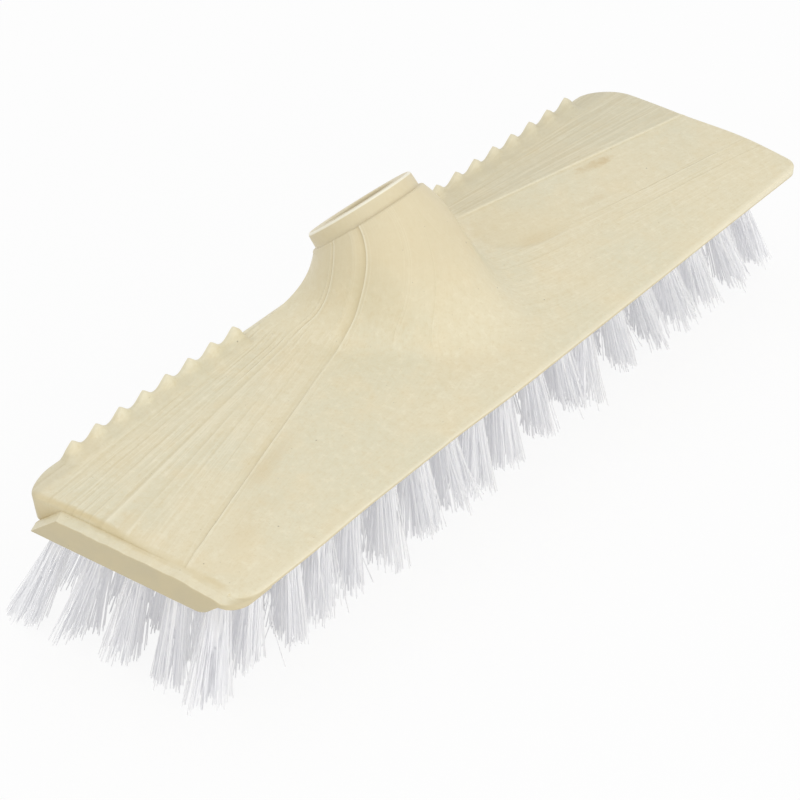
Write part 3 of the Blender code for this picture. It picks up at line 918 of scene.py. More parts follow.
    def socket_rings(self) -> list[Array]:
        """Rings from the floor of the bore up to its mouth, over the collar's rim and down to the shoulder."""
        bore, outer = self.bore_radius, self.collar_radius
        floor = bore - self.bore_taper
        left, come = quarter_turn(5)
        profile = [(floor - 0.001, self.bore_depth), (floor, self.bore_depth - 0.001)]
        profile += [(floor + self.bore_taper * t, self.bore_depth * (1 - t)) for t in np.linspace(0.08, 0.97, 9)]
        profile += [*zip(bore + self.bore_roll * come, self.bore_roll * left)]
        profile += [(outer - self.collar_roll, 0.0)]
        profile += [*zip(outer - self.collar_roll * left[1:], self.collar_roll * come[1:])]
        profile += [(outer + 0.00015 * t, self.collar_height * t) for t in (0.4, 0.7, 0.96)]
        profile += [(outer + 0.0003, self.collar_height + 0.0001)]
        radius = self.shoulder_radius
        profile += [*zip(outer + self.shoulder - radius * left, self.collar_height + radius * come)]
        axis, outward = self.socket_axes()
        return [np.array(self.mouth) - axis * depth + outward * radius for radius, depth in profile]

    def foot(self) -> Array:
        """Outline of the flare on the board: a rounded nose in front, and straight along the back edge."""
        angle, side = self.angles(), self.sides()
        back_y = self.half_width - self.edge_margin
        turn = np.clip((QUARTER - angle) / (QUARTER - self.flare_back_angle), 0.0, 1.0)
        behind = (angle + QUARTER) / (self.flare_back_angle + QUARTER)
        x = self.flare_half_width * np.where(turn < 1, turn**1.1, behind)
        y = self.flare_nose_y + (back_y - self.flare_nose_y) * turn**2
        return np.stack([x * side, y, self.crown(y)], axis=-1)

    def neck_rings(self, top: Array) -> list[Array]:
        """Rings from the shoulder to the foot, each point on a cubic curve.

        The curve leaves the shoulder near the socket's axis and arrives along the board's top.

        Args:
            top: Last ring of the shoulder.

        Returns:
            The rings, without the first.
        """
        angle, side = self.angles(), self.sides()
        axis, outward = self.socket_axes()
        front = np.maximum(np.sin(angle), 0.0) ** 2
        fuller = smooth((np.degrees(angle) - np.where(side > 0, -25.0, 10.0)) / 35.0)
        lean, pull, foot_pull = (
            (pair[0] + (pair[1] - pair[0]) * share)[:, None]
            for pair, share in ((self.flare_lean, front), (self.flare_pull, front), (self.foot_pull, fuller))
        )
        foot = self.foot()
        leaving = top + (outward * np.sin(lean) - axis * np.cos(lean)) * pull
        arriving = foot + (top - foot) * foot_pull
        arriving[:, 2] = self.crown(np.minimum(arriving[:, 1], self.half_width))
        return [
            top * (1 - t) ** 3 + leaving * 3 * (1 - t) ** 2 * t + arriving * 3 * (1 - t) * t**2 + foot * t**3
            for t in np.linspace(0.0, 1.0, self.neck_levels + 1)[1:]
        ]

    def board_rings(self) -> list[Array]:
        """Rings from the flare's foot over the board's top and edge, down the wall and in under the rim.

        The rounded top edge is tight along the sides, and wider and deeper over the ends.
        """
        foot, outer = self.foot()[:, :2], self.outline()
        run, span = self.end_roll_run
        near_end = smooth((np.abs(outer[:, 0]) - (self.half_length - run)) / span)
        reach = self.edge_radius + (self.end_roll[0] - self.edge_radius) * near_end
        drop = self.edge_radius + (self.end_roll[1] - self.edge_radius) * near_end
        inner = self.outline(reach)
        flats = [foot + (inner - foot) * t for t in np.linspace(0.0, 1.0, 25)[1:]]
        rings = [np.column_stack([flat, self.board_top(flat)]) for flat in flats]
        for left, come in list(zip(*quarter_turn(7)))[1:]:
            flat = self.outline(reach * left)
            rings.append(np.column_stack([flat, self.board_top(flat) - drop * come]))

        low = self.underside(outer[:, 1])
        wall = rings[-1][:, 2] - low
        run = self.end_draft_run
        near_end = smooth((np.abs(outer[:, 0]) - (self.half_length - run)) / run)
        draft = np.where(outer[:, 1] < -self.half_width + 0.0015, 0.0, self.wall_draft)
        draft = draft + (self.end_draft - draft) * near_end
        bottom_radius = np.minimum(self.bottom_radius, wall * 0.45)
        for left, come in zip(*quarter_turn(4)):
            inset = draft * (wall / (self.top - self.trim)) + bottom_radius * come
            rings.append(np.column_stack([self.outline(inset), low + bottom_radius * left]))

        last = rings[-1]
        for share in (0.5, 1.0):
            flat = last[:, :2] * (1.0 - self.underside_inset * share)
            limit = -self.half_width + self.rim_overhang * share
            y = np.where(flat[:, 1] < limit, limit - (limit - flat[:, 1]) * 0.02, flat[:, 1])
            z = np.minimum(last[:, 2], self.underside(y)) if share < 1.0 else np.full(len(y), self.trim)
            rings.append(np.column_stack([flat[:, 0], y, z]))
        return rings

    def skin(self) -> Surface:
        """The board, neck and socket as one closed skin.

        Spokes run from the floor of the bore, over the collar, down the neck, out over the board, round its edge
        and in under it. Along each, the grain turns from the lines of the neck to the fan of lines on the board.

        Returns:
            The surface, with flow and relief as grain_values gives them. The third number of its relief is the painted
            light of the collar's rings: above 0 a painted highlight, below 0 painted shade.
        """
        socket = self.socket_rings()
        neck = self.neck_rings(socket[-1])
        board = self.board_rings()
        rings = np.stack(socket + neck + board)
        share = np.concatenate([np.zeros(len(socket)), np.linspace(0, 1, len(neck) + 1)[1:], np.ones(len(board))])
        share = share[:, None]
        weight = 1.0 - smooth((share - 0.6) / 0.4)
        sweep = smooth(share)
        turned, spread = self.neck_sweep
        collar_angle = (np.degrees(self.angles()) + turned * sweep) / (1.0 - spread * sweep)
        side, per_degree, last = self.neck_grain
        on_neck = side - per_degree * np.minimum(collar_angle, last)
        flow, relief = self.grain_values(rings, weight, on_neck)
        relief[: self.smooth_rings, :, 1] = 0.0
        rings = rings - self.neck_steps(rings, flow, relief)
        # Painted highlight and painted shade on rings of the collar.
        for first, end, tone in self.rim_painted_light:
            relief[first:end, :, 2] = tone
        return Surface.tubes(rings, {FLOW: flow, RELIEF: relief})

    def neck_steps(self, rings: Array, flow: Array, relief: Array) -> Array:
        """How far the skin sinks at each point beside the neck's two long lines.

        Args:
            rings: Points of the skin, ring by ring.
            flow: Their flow values, of which the third counts the lines.
            relief: Their relief values: the millimetres between lines, and the lines' strength.

        Returns:
            The depth at each point, as a vector out of the skin.
        """
        gap = relief[..., 0]
        after = (flow[..., 2] - np.floor(flow[..., 2])) * gap
        on_neck = np.clip((relief[..., 1] - NECK_LINES[0]) / (NECK_LINES[1] - NECK_LINES[0]), 0.0, 1.0)
        coming_back = (STEP_RETURN[0] - after / gap) / (STEP_RETURN[0] - STEP_RETURN[1])
        sunk = np.clip(after / STEP_WIDTH, 0.0, 1.0) * np.clip(coming_back, 0.0, 1.0)
        around = np.roll(rings, -1, axis=1) - np.roll(rings, 1, axis=1)
        normal = np.cross(np.gradient(rings, axis=0), around)
        normal = normal / np.maximum(np.linalg.norm(normal, axis=-1, keepdims=True), 1e-12)
        return normal * (self.step_depth * sunk * on_neck)[..., None]

    def board_grain(self, x: Array, y: Array) -> Array:
        """Place across the grain on the board: the Y at which the line through a point passes the neck's side.

        Away from the neck, each line falls off towards the front in proportion to the way along the board, by a
        slope that depends on the line. Beside the neck, the lines in front rise towards its foot.

        Args:
            x: Place along the block.
            y: Place across it.

        Returns:
            The place across the grain, found by halving an interval 26 times.
        """
        away = np.abs(x)
        height, reach = self.rise_to_neck
        hump = height * (np.exp(-np.minimum(away, self.fan_start) / reach) - math.exp(-self.fan_start / reach))
        share = np.clip((y + 0.04) / 0.03, 0.0, 1.0) * np.clip(1.0 - (y - 0.015) / 0.036, 0.2, 1.0)
        aim = y - hump * share
        beyond = np.maximum(away - self.fan_start, 0.0)
        low, high = np.full(aim.shape, -0.08), np.full(aim.shape, 0.10)
        for _ in range(26):
            middle = (low + high) / 2
            left, right = (from_knots(middle * 1000, fan) for fan in (self.left_fan, self.right_fan))
            under = middle - np.where(x < 0, left, right) * beyond < aim
            low, high = np.where(under, middle, low), np.where(under, high, middle)
        return (low + high) / 2

    def grain_values(
        self, points: Array, weight: Array | float = 0.0, on_neck: Array | float = 0.0
    ) -> tuple[Array, Array]:
        """Flow and relief at points of the block.

        Args:
            points: The points.
            weight: Share of the neck's grain, 1 at the collar and 0 on the board.
            on_neck: Place across the neck's grain.

        Returns:
            The flow (way along the grain, place across it, number of the grain line) and the relief (millimetres
            between lines, their strength, and 0 in place of the collar's painted light).
        """
        x = points[..., 0]
        grain = weight * on_neck + (1.0 - weight) * self.board_grain(x, points[..., 1])
        run = np.abs(x) - 0.05 * weight
        millimetres = grain * 1000
        count = np.arange(len(self.left_lines), dtype=float)
        halves = []
        for lines, strength in ((self.left_lines, self.left_strength), (self.right_lines, self.right_strength)):
            ring = np.interp(millimetres, lines, count) + np.maximum(millimetres - lines[-1], 0.0) * 0.5
            middles = (np.array(lines[1:]) + np.array(lines[:-1])) / 2
            gap = np.interp(millimetres, middles, np.diff(lines))
            halves.append((ring, gap, from_knots(millimetres, strength)))
        across = smooth(x / 0.03 + 0.5)
        ring, gap, strength = (left + (right - left) * across for left, right in zip(*halves))
        of_neck = smooth(np.broadcast_to(weight, grain.shape) / 0.85)
        on_left = smooth(0.5 - (x - 0.004) / 0.01)
        strength = strength + (from_knots(millimetres, self.neck_strength) * on_left - strength) * of_neck
        calm = smooth((0.022 - np.abs(x)) / 0.012) * (1.0 - of_neck) * smooth((0.0 - points[..., 1]) / 0.01)
        strength = strength * (1.0 - 0.8 * calm)
        return np.stack([run, grain, ring], axis=-1), np.stack([gap, strength, 0.0 * gap], axis=-1)

    def trim_surface(self, rings: Array, line_strength: float = 0.0) -> Surface:
        """A tube that carries the flow of the board.

        Args:
            rings: Its rings of points.
            line_strength: Share of the board's grain lines that it shows.

        Returns:
            The surface.
        """
        flow, relief = self.grain_values(rings)
        relief[..., 1] *= line_strength
        return Surface.tubes(rings, {FLOW: flow, RELIEF: relief})

    def teeth(self, side: int) -> Surface:
        """One row of teeth, which falls off in a hollow curve towards the front.

        The height along X is a rounded wave mixed with a pointed one, over raised valleys, times a ramp across Y.

        Args:
            side: 1 for the right row, -1 for the left.

        Returns:
            The surface.
        """
        first, last = self.tooth_numbers
        low, high = (first - 0.5) * self.tooth_pitch, (last + 0.5) * self.tooth_pitch
        x = np.linspace(low, high, 241)
        rounded = (1.0 + np.cos(2 * math.pi * x / self.tooth_pitch)) / 2
        pointed = 1.0 - 2.0 * np.abs(x / self.tooth_pitch - np.round(x / self.tooth_pitch))
        shapes = zip(self.tooth_shares, (rounded, pointed), self.tooth_powers)
        wave = sum(share * shape**power for share, shape, power in shapes)
        ends = smooth((x - low) / self.tooth_end_run) * smooth((high - x) / self.tooth_end_run)
        gain = self.tooth_gain * (1.0 - 1.3 * (x - low) / (high - low))
        height = (self.tooth_valley + gain) * ends + (self.tooth_height - self.tooth_valley) * wave
        depth = np.array(self.tooth_depths) / 1000
        rise = np.clip((self.tooth_run + 0.0006 - depth) / (self.tooth_run - 0.0018), 0.0, 1.0) ** 1.6
        fall = np.clip((depth - 0.0003) / 0.0009, 0.0, 1.0) ** 0.5
        y = self.half_width - depth
        top = self.crown(y) - 0.00004 + height[:, None] * (rise * fall)
        y = np.concatenate([y, self.half_width - np.array([0.0003, 0.0006, 0.0080])])
        wall = np.broadcast_to(self.top - np.array([0.0006, 0.0030, 0.0030]), (len(x), 3))
        z = np.concatenate([top, wall], axis=1)
        rings = np.stack([np.broadcast_to(x[:, None] * side, z.shape), np.broadcast_to(y, z.shape), z], axis=-1)
        return self.trim_surface(rings, self.tooth_grain)

    def lip_top(self, y: Array) -> Array:
        """Height of the lip's top: level, and a little below the board's crown where that is lower."""
        return np.minimum(self.top - self.lip_top_drop, self.crown(y) - self.lip_below_crown)

    def lip_outline(self) -> Array:
        """Outline of the lip in Y and Z: slanted at the back, rounded at the front bottom."""
        front_y, back_y = self.lip_y
        low = self.top - self.lip_bottom_drop
        high = float(self.lip_top(np.array(back_y)))
        turn = np.linspace(0.0, 1.0, 9)[:, None]
        corner = np.array([front_y + self.lip_front_slant, low])
        start, end = corner + (-0.0024, 0.0024), corner + (0.0030, 0.0)
        bend = start * (1 - turn) ** 2 + corner * 2 * turn * (1 - turn) + end * turn**2
        top_y = np.linspace(back_y - (high - low) * self.lip_back_lean, front_y, 60)
        top = np.stack([top_y, self.lip_top(top_y)], axis=-1)
        front = [[front_y, float(top[-1, 1]) - self.web_thickness + 0.0003]]
        return np.concatenate([[[back_y, low]], top, front, bend])

    @staticmethod
    def outward(flat: Array) -> Array:
        """Outward vectors at the corners of a closed flat outline, as long as moves each side by one unit."""
        along = np.roll(flat, -1, axis=0) - flat
        turned = np.stack([along[:, 1], -along[:, 0]], axis=-1) / np.linalg.norm(along, axis=1)[:, None]
        turned *= np.sign(np.sum(flat[:, 0] * np.roll(flat[:, 1], -1) - flat[:, 1] * np.roll(flat[:, 0], -1)))
        before = np.roll(turned, 1, axis=0)
        return (turned + before) / (1.0 + np.sum(turned * before, axis=1))[:, None]

    def lip(self) -> Surface:
        """The plate on the left end, with a rounded outer edge and a hollow fillet up to the board.

        Rings of the outline run along X. The outer ones shrink along their normals for the rounded edge, and the
        inner ones lift their top on a quarter circle for the fillet. Two slow waves along Y keep the top from being
        quite straight, and the slanted back end draws in towards the board.
        """
        flat = self.lip_outline()
        outer = -self.half_length - self.lip_reach
        left, come = quarter_turn(5)
        inner = np.linspace(outer + 0.0008, -self.half_length + 0.0012, 16)
        x = np.concatenate([[outer], outer + self.lip_edge * come, inner])
        shrink = np.concatenate([[-self.lip_edge - 0.0002], -self.lip_edge * left, np.zeros(16)])
        rings = flat[None] + self.outward(flat)[None] * shrink[:, None, None]
        near = np.clip((x + self.half_length + self.lip_fillet) / self.lip_fillet, 0.0, 0.97)[:, None]
        wave = sum(height * np.sin(flat[:, 0] * rate + start) for height, rate, start in self.lip_waves)
        lift = self.lip_fillet * (1 - np.sqrt(1 - near**2)) * 0.8 + wave * (1 - near)
        behind = smooth((flat[:, 0] - 0.016) / 0.008)
        rings[..., 0] += behind * np.minimum((x - outer) * self.lip_end_slant, 0.0016)[:, None]
        rings[..., 1] += np.where(flat[:, 1] > self.lip_top(flat[:, 0]) - 1e-5, lift, 0.0)
        along = np.broadcast_to(x[:, None, None], (*rings.shape[:2], 1))
        return self.trim_surface(np.concatenate([along, rings], axis=-1))

    def corner_web(self) -> Surface:
        """The thin plate that carries the lip's top round the board's front left corner.

        Its outline in plan is a quarter ellipse from the lip's outer edge to the front edge, closed inside the
        board, and its top keeps to the board's crown.
        """
        outer_x = -self.half_length - self.lip_reach + 0.00005
        front_y = -self.half_width + 0.0005
        turn_x, turn_y = self.web_turn
        left, come = quarter_turn(25)
        bend = np.stack([outer_x + turn_x * left, front_y + turn_y * come], axis=-1)
        run = np.linspace(self.web_start_x, outer_x + turn_x, 9)[:-1]
        back_y = front_y + turn_y + 0.0025
        inside = [[outer_x, back_y], [-self.half_length + 0.003, back_y], [self.web_start_x, front_y + 0.004]]
        flat = np.concatenate([np.column_stack([run, np.full(len(run), front_y)]), bend, inside])
        top_roll, low_roll = self.web_rolls
        left, come = quarter_turn(5)
        inset = np.concatenate([[0.0016], top_roll * left, low_roll * come, [0.0014]])
        thickness = self.web_thickness
        drop = np.concatenate([[0.0], top_roll * come, thickness - low_roll * left, [thickness]])
        rings = flat[None] - self.outward(flat)[None] * inset[:, None, None]
        z = self.lip_top(rings[..., 1]) - drop[:, None]
        return self.trim_surface(np.concatenate([rings, z[..., None]], axis=-1))

    def ridge(self) -> Surface:
        """The low bead that runs slantwise along the right half, from the neck's foot to the end.

        Its section is half a cosine wave over the board's top, closed by a flat base inside the board. Its height
        swells and fades a little along its run, and at the end it follows the board's rounded edge down.
        """
        start_x, start_y = RIDGE_START
        x = np.linspace(start_x - 0.004, self.half_length + 0.0002, 150)
        y = start_y - (x - start_x) * RIDGE_SLOPE
        end = self.half_length + END_SLANT * (y - END_SLANT_MIDDLE)
        x = np.minimum(x, end - 0.0002 - (x[-1] - x) * 0.02)
        into_end = np.clip(1.0 - (end - x) / self.end_roll[0], 0.0, 1.0)
        roll = self.end_roll[1] * (1.0 - np.sqrt(1.0 - into_end**2))
        top = self.board_top(np.stack([x, y], axis=-1)) - roll
        height = self.ridge_height * sum((share * np.sin(x * rate) for share, rate in self.ridge_waves), start=1.0)
        height = height * smooth((x - x[0]) / 0.010)
        across = np.linspace(-1.0, 1.0, 9)
        lift = height[:, None] * np.cos(across * QUARTER) - 0.00002
        z = top[:, None] + np.concatenate([lift, np.full((len(x), 2), -0.0006)], axis=1)
        offset = np.concatenate([across, [1.0, -1.0]]) * self.ridge_half_width
        return self.trim_surface(np.stack([np.broadcast_to(x[:, None], z.shape), y[:, None] + offset, z], axis=-1))

    def hole_cutter(self, centers: Array) -> bpy.types.Object:
        """The cutter of the tuft holes: a short cylinder with a wider mouth at each centre.

        Args:
            centers: X and Y of the holes.

        Returns:
            The cutter, a temporary object to be removed after use.
        """
        ring = circle(np.linspace(0.0, 2 * math.pi, self.hole_sides, endpoint=False))
        heights = (self.trim - 0.002, self.trim - 0.0003, self.trim + 0.0004, self.trim + self.hole_depth)
        radii = (self.hole_radius + self.hole_flare,) * 2 + (self.hole_radius,) * 2
        one = np.stack([np.column_stack([ring * r, np.full(len(ring), z)]) for r, z in zip(radii, heights)])
        places = np.column_stack([centers, np.zeros(len(centers))])
        holes = Surface.tubes(one + places[:, None, None, :])
        return make_object("hole_cutter", make_mesh("hole_cutter", [holes], 30.0), None)

    def build(self, finish: CreamPlastic, centers: Array) -> bpy.types.Object:
        """Build the block and dress it.

        Args:
            finish: Its finish.
            centers: X and Y of the tuft holes.

        Returns:
            The finished piece, in place of the model's block.
        """
        material = finish.material()
        body = make_object("block_skin", make_mesh("block_skin", [self.skin()], 35.0), material)
        cutter = self.hole_cutter(centers)
        cut = body.modifiers.new("holes", "BOOLEAN")
        cut.operation, cut.solver, cut.object = "DIFFERENCE", "EXACT", cutter
        mesh = bpy.data.meshes.new_from_object(body.evaluated_get(bpy.context.evaluated_depsgraph_get()))
        for spare in (body, cutter):
            bpy.data.objects.remove(spare)
        trims = [self.teeth(-1), self.teeth(1), self.lip(), self.corner_web(), self.ridge()]
        work = bmesh.new()
        work.from_mesh(mesh)
        work.from_mesh(make_mesh("block_trim", trims, 40.0))
        work.to_mesh(mesh)
        work.free()
        piece = make_object("moulded_block", mesh, material)
        mesh.polygons.foreach_set("material_index", np.zeros(len(mesh.polygons), np.int32))
        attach(piece, "root")
        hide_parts("block")
        return piece


# ---------------------------------------------------------------- bristles


@dataclass
class BristleField:
    """Tufts of nylon filament in 19 columns of five, which fan out towards the edges of the block."""

    columns: int = 19
    rows: int = 5
    pitch_x: float = 0.0152
    pitch_y: float = 0.0130
    middle_y: float = 0.0045
    trim: float = 0.035
    sink: float = 0.0025
    filaments: int = 128
    filament_radius: float = 0.00022
    filament_taper: float = 0.82
    root_radius: float = 0.0026
    tip_spread: float = 0.0062
    fan_x: float = 0.25
    end_splay: float = 0.20
    fan_y: float = 0.19
    rings: int = 6
    clumps: int = 5
    limits: tuple[Pair, Pair] = ((-0.1588, 0.1588), (-0.0436, 0.0472))

    # Spreads of what differs by chance: a tuft's lean and opening, how clumps part, and each filament's own ways.
    lean_spread: float = 0.045
    shape_spread: float = 0.12
    clump_parting: float = 0.00110
    tip_scatter: float = 0.00050
    bend_spread: float = 0.0007
    stray_share: float = 0.045
    stray_bend: float = 0.0036
    stray_short: float = 0.003
    clump_short: float = 0.0026
    filament_short: float = 0.0048
    path_seed: int = 4100
    core_seed: int = 9300
    turn_seed: int = 77

    # Cores of the tufts: ways down, the shares of the tuft's radius there, and the waves of their grooves.
    core_ways: tuple[float, ...] = (0.0, 0.2, 0.36, 0.46, 0.54, 0.61, 0.67)
    core_shares: tuple[float, ...] = (0.93, 0.90, 0.84, 0.74, 0.56, 0.32, 0.05)
    core_waves: Triple = (3.0, 7.0, 13.0)
    core_groove: float = 0.05
    core_sides: int = 28
    core_shade: float = 0.35

    # Lean along X of the front tufts, by column.
    front_lean: tuple[float, ...] = (
        -0.40, -0.30, -0.22, -0.26, -0.27, -0.19, -0.08, 0.00, -0.17, -0.10,
        0.13, 0.11, -0.10, 0.16, 0.30, 0.22, 0.28, 0.36, 0.30,
    )
    front_share: float = 0.8

    def column_x(self, column: int) -> float:
        """X of a column, counted from 0 at the left."""
        return (column - (self.columns - 1) / 2) * self.pitch_x

    def row_y(self) -> Array:
        """Y of the rows, from the front."""
        return self.middle_y + (np.arange(self.rows) - (self.rows - 1) / 2) * self.pitch_y

    def centers(self) -> Array:
        """X and Y of all tufts."""
        x = np.array([self.column_x(column) for column in range(self.columns)])
        return np.stack(np.meshgrid(x, self.row_y(), indexing="ij"), axis=-1).reshape(-1, 2)

    def column_paths(self, column: int) -> tuple[Array, Array, Array]:
        """Centre lines of the filaments of one column.

        Each filament starts at a random place in its hole. Down its length, it moves sideways with the lean of its
        tuft, with the tuft's own opening and with a bend that grows as the square of the way down. The longest end
        on the floor.

        Args:
            column: Number of the column, from 0.

        Returns:
            Points of shape (filaments, rings, 3), one random shade for each filament, and the lean of each tuft.
        """
        chance = np.random.default_rng(self.path_seed + column)
        x = self.column_x(column)
        share_x = x / ((self.columns - 1) / 2 * self.pitch_x)
        tuft = np.repeat(np.arange(self.rows), self.filaments)
        y = self.row_y()[tuft]
        total = len(y)
        share_y = (y - self.middle_y) / ((self.rows - 1) / 2 * self.pitch_y)
        own = chance.normal(0.0, self.lean_spread, (self.rows, 2))[tuft]
        lean = np.stack([self.fan_x * share_x + self.end_splay * share_x**7 + 0 * y, self.fan_y * share_y], axis=-1)
        lean[:, 0] += (tuft == 0) * (self.front_lean[column] - lean[:, 0]) * self.front_share
        lean += own
        around, out = chance.uniform(0, 2 * math.pi, total), np.sqrt(chance.uniform(0, 1, total))
        disc = circle(around) * out[:, None]
        shape = 1.0 + chance.normal(0.0, self.shape_spread, (self.rows, 2))[tuft]
        clump = tuft * self.clumps + ((around / (2 * math.pi) + 0.12 * out) * self.clumps).astype(int) % self.clumps
        parting = chance.normal(0.0, self.clump_parting, (self.rows * self.clumps, 2))[clump]
        spread = disc * (self.tip_spread - self.root_radius) * shape
        spread = spread + chance.normal(0.0, self.tip_scatter, (total, 2))
        bend = chance.normal(0.0, self.bend_spread, (total, 2)) + parting
        stray = chance.uniform(0, 1, total) < self.stray_share
        bend += stray[:, None] * chance.normal(0.0, self.stray_bend, (total, 2))
        short = self.clump_short * chance.uniform(0, 1, self.rows * self.clumps)[clump] ** 2
        short = short + self.filament_short * chance.uniform(0, 1, total) ** 2.6
        short = short + stray * chance.uniform(0.0, self.stray_short, total)
        short[chance.integers(0, self.filaments, self.rows) + np.arange(self.rows) * self.filaments] = 0.0
        drop = self.trim - short - 0.0001
        t = np.linspace(0.0, 1.0, self.rings)[None, :, None]
        root = np.stack([x + disc[:, 0] * self.root_radius, y + disc[:, 1] * self.root_radius], axis=-1)
        side = lean * drop[:, None] + spread
        flat = root[:, None, :] + side[:, None, :] * t + bend[:, None, :] * t * t
        flat -= (lean * self.sink)[:, None, :] * (1 - t)
        least, most = np.array(self.limits).T
        tip = flat[:, -1:]
        flat -= (tip - np.clip(tip, least, most)) * t * t
        z = self.trim + self.sink - (self.sink + drop)[:, None, None] * t
        return np.concatenate([flat, z], axis=-1), chance.uniform(0, 1, total), lean[:: self.filaments]

    def strands(self, column: int, paths: Array, shade: Array) -> Surface:
        """Three-sided tubes along the filaments of one column, a little thinner at their tips.

        Args:
            column: Number of the column, from 0.
            paths: Centre lines of the filaments.
            shade: Shade of each filament.

        Returns:
            The surface, with the way down each filament and its shade.
        """
        way = np.gradient(paths, axis=1)
        way /= np.linalg.norm(way, axis=-1, keepdims=True)
        across = np.cross(way, (0.0, 1.0, 0.0))
        across /= np.linalg.norm(across, axis=-1, keepdims=True)
        beside = np.cross(way, across)
        first = np.random.default_rng(self.turn_seed + column).uniform(0, 2 * math.pi, len(paths))
        turn = (first[:, None] + np.arange(3) * 2 * math.pi / 3)[:, None, :, None]
        sweep = across[:, :, None, :] * np.cos(turn) + beside[:, :, None, :] * np.sin(turn)
        radius = self.filament_radius * np.linspace(1.0, self.filament_taper, self.rings)
        points = paths[:, :, None, :] + sweep * radius[:, None, None]
        points[..., 2] = np.maximum(points[..., 2], 0.0)
        strand = np.zeros(points.shape)
        strand[..., 0] = np.linspace(0.0, 1.0, self.rings)[:, None]
        strand[..., 1] = shade[:, None, None]
        return Surface.tubes(points, {STRAND: strand})

    def cores(self, column: int, lean: Array) -> Surface:
        """Dense middles of the tufts of one column, which fill the space between their outer filaments.

        Each is a tube round its tuft's middle line, with lengthwise grooves from a sum of three cosines, and it
        tapers to a blunt point above the ragged ends.

        Args:
            column: Number of the column, from 0.
            lean: Lean of each tuft.

        Returns:
            The surface, with the way down each core, its shade and the place across its grooves.
        """
        chance = np.random.default_rng(self.core_seed + column)
        t, share = np.array(self.core_ways), np.array(self.core_shares)
        turn = np.linspace(0, 2 * math.pi, self.core_sides, endpoint=False)
        phases = chance.uniform(0, 2 * math.pi, (self.rows, 3, 1))
        groove = 1.0 + self.core_groove * np.cos(np.array(self.core_waves)[:, None] * turn + phases).sum(axis=1)
        radius = (self.root_radius + (self.tip_spread - self.root_radius) * t) * share
        middle = np.column_stack([np.full(self.rows, self.column_x(column)), self.row_y()])
        flat = middle[:, None, :] + lean[:, None, :] * (self.trim * t - self.sink * (1 - t))[:, None]
        ring = flat[:, :, None, :] + circle(turn) * radius[:, None, None] * groove[:, None, :, None]
        z = (self.trim + self.sink - (self.sink + self.trim) * t)[:, None, None]
        points = np.concatenate([ring, np.broadcast_to(z, (*ring.shape[:3], 1))], axis=-1)
        strand = np.zeros(points.shape)
        strand[..., 0] = t[:, None]
        strand[..., 1] = self.core_shade
        strand[..., 2] = np.abs(np.linspace(-1.0, 1.0, self.core_sides, endpoint=False))
        return Surface.tubes(points, {STRAND: strand}, turned=True)

    def build(self, finish: WhiteNylon) -> list[bpy.types.Object]:
        """Build every column of tufts and dress it, with flat-sided strands and smooth cores.

        Args:
            finish: Finish of the filaments.

        Returns:
            The pieces, each in place of the model's column of the same number.
        """
        material = finish.material()
        pieces = []
        for column in range(self.columns):
            name = f"bristles_{column + 1:02d}"
            paths, shade, lean = self.column_paths(column)
            strands = self.strands(column, paths, shade)
            mesh = make_mesh(name, [strands, self.cores(column, lean)])
            flat_faces = len(strands.quads) + len(strands.caps)
            mesh.polygons.foreach_set("use_smooth", np.arange(len(mesh.polygons)) >= flat_faces)
            piece = make_object(name, mesh, material)
            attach(piece, "root")
            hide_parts(f"tuft_column_{column + 1:02d}")
            pieces.append(piece)
        return pieces


# ---------------------------------------------------------------- studio


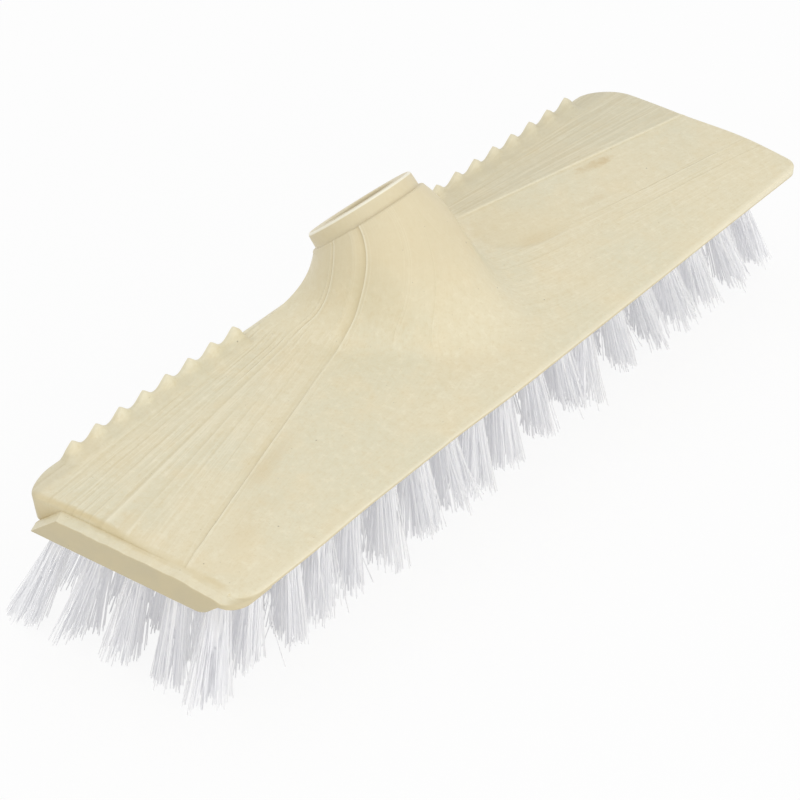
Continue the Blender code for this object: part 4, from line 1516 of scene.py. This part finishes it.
@dataclass
class Studio:
    """Plain pale floor, soft lamps and the camera."""

    floor_half: float = 6.0
    floor_drop: float = 0.0002
    world_level: float = 0.79
    lens: float = 153.0
    camera_place: Triple = (-0.73064618, -0.506886, 0.619706)
    camera_right: Triple = (0.58983209, -0.80730663, 0.01881781)
    camera_up: Triple = (0.44768023, 0.34629944, 0.8244144)
    camera_back: Triple = (-0.67207181, -0.47784171, 0.56567374)
    # Square soft lamps: name, place, length of a side, watts.
    lamps: tuple[tuple[str, Triple, float, float], ...] = (
        ("overhead", (0.10, 0.25, 1.25), 1.0, 2.0),
        ("side", (0.95, -0.75, 0.85), 0.8, 0.2),
        ("front", (-0.25, -1.40, 0.20), 0.9, 6.4),
        ("left", (-1.00, -0.30, 1.00), 0.9, 1.3),
    )

    def floor(self) -> None:
        """The floor: one large flat sheet just under the bristle tips."""
        half = self.floor_half
        mesh = bpy.data.meshes.new("floor")
        corners = [(-half, -half, 0.0), (half, -half, 0.0), (half, half, 0.0), (-half, half, 0.0)]
        mesh.from_pydata(corners, [], [(0, 1, 2, 3)])
        floor = make_object("floor", mesh, PaleFloor().material())
        floor.location.z = -self.floor_drop

    def world(self) -> None:
        """Even white surroundings: a plain level for light, and white where the camera sees them."""
        graph = Graph(bpy.data.worlds.new("surroundings"))
        bpy.context.scene.world = graph.owner
        seen = Value(graph, graph.node("ShaderNodeLightPath").outputs["Is Camera Ray"])
        level = seen * (1.0 - self.world_level) + self.world_level
        graph.fill(graph.shader, {"Color": (1.0, 1.0, 1.0, 1.0), "Strength": level})

    def light(self) -> None:
        """The lamps, each turned to face the object."""
        for name, place, size, power in self.lamps:
            light = bpy.data.lights.new(name, "AREA")
            light.shape, light.size, light.energy = "SQUARE", size, power
            lamp = bpy.data.objects.new(name, light)
            bpy.context.scene.collection.objects.link(lamp)
            lamp.location = place
            lamp.rotation_mode = "QUATERNION"
            lamp.rotation_quaternion = (-lamp.location).to_track_quat("-Z", "Y")

    def camera(self) -> None:
        """The camera at the photograph's angle."""
        data = bpy.data.cameras.new("camera")
        data.lens, data.sensor_width, data.clip_end = self.lens, 36.0, 20.0
        camera = bpy.data.objects.new("camera", data)
        bpy.context.scene.collection.objects.link(camera)
        columns = (self.camera_right, self.camera_up, self.camera_back, self.camera_place)
        camera.matrix_world = Matrix([*zip(*columns), (0, 0, 0, 1)])
        bpy.context.scene.camera = camera

    def build(self) -> None:
        """Set up the floor, the surroundings, the lamps and the camera."""
        self.floor()
        self.world()
        self.light()
        self.camera()
        bpy.context.scene.view_settings.view_transform = "Standard"


# ---------------------------------------------------------------- main


def main() -> None:
    """Build the block, the bristles and the studio, and log the number of faces of each piece."""
    logging.basicConfig(level=logging.INFO, format="%(name)s: %(message)s")
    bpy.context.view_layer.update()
    bristles = BristleField()
    pieces = [MouldedBlock().build(CreamPlastic(), bristles.centers())] + bristles.build(WhiteNylon())
    for piece in pieces:
        log.info("%s: %d faces", piece.name, len(piece.data.polygons))
    Studio().build()


if __name__ == "__main__":
    main()
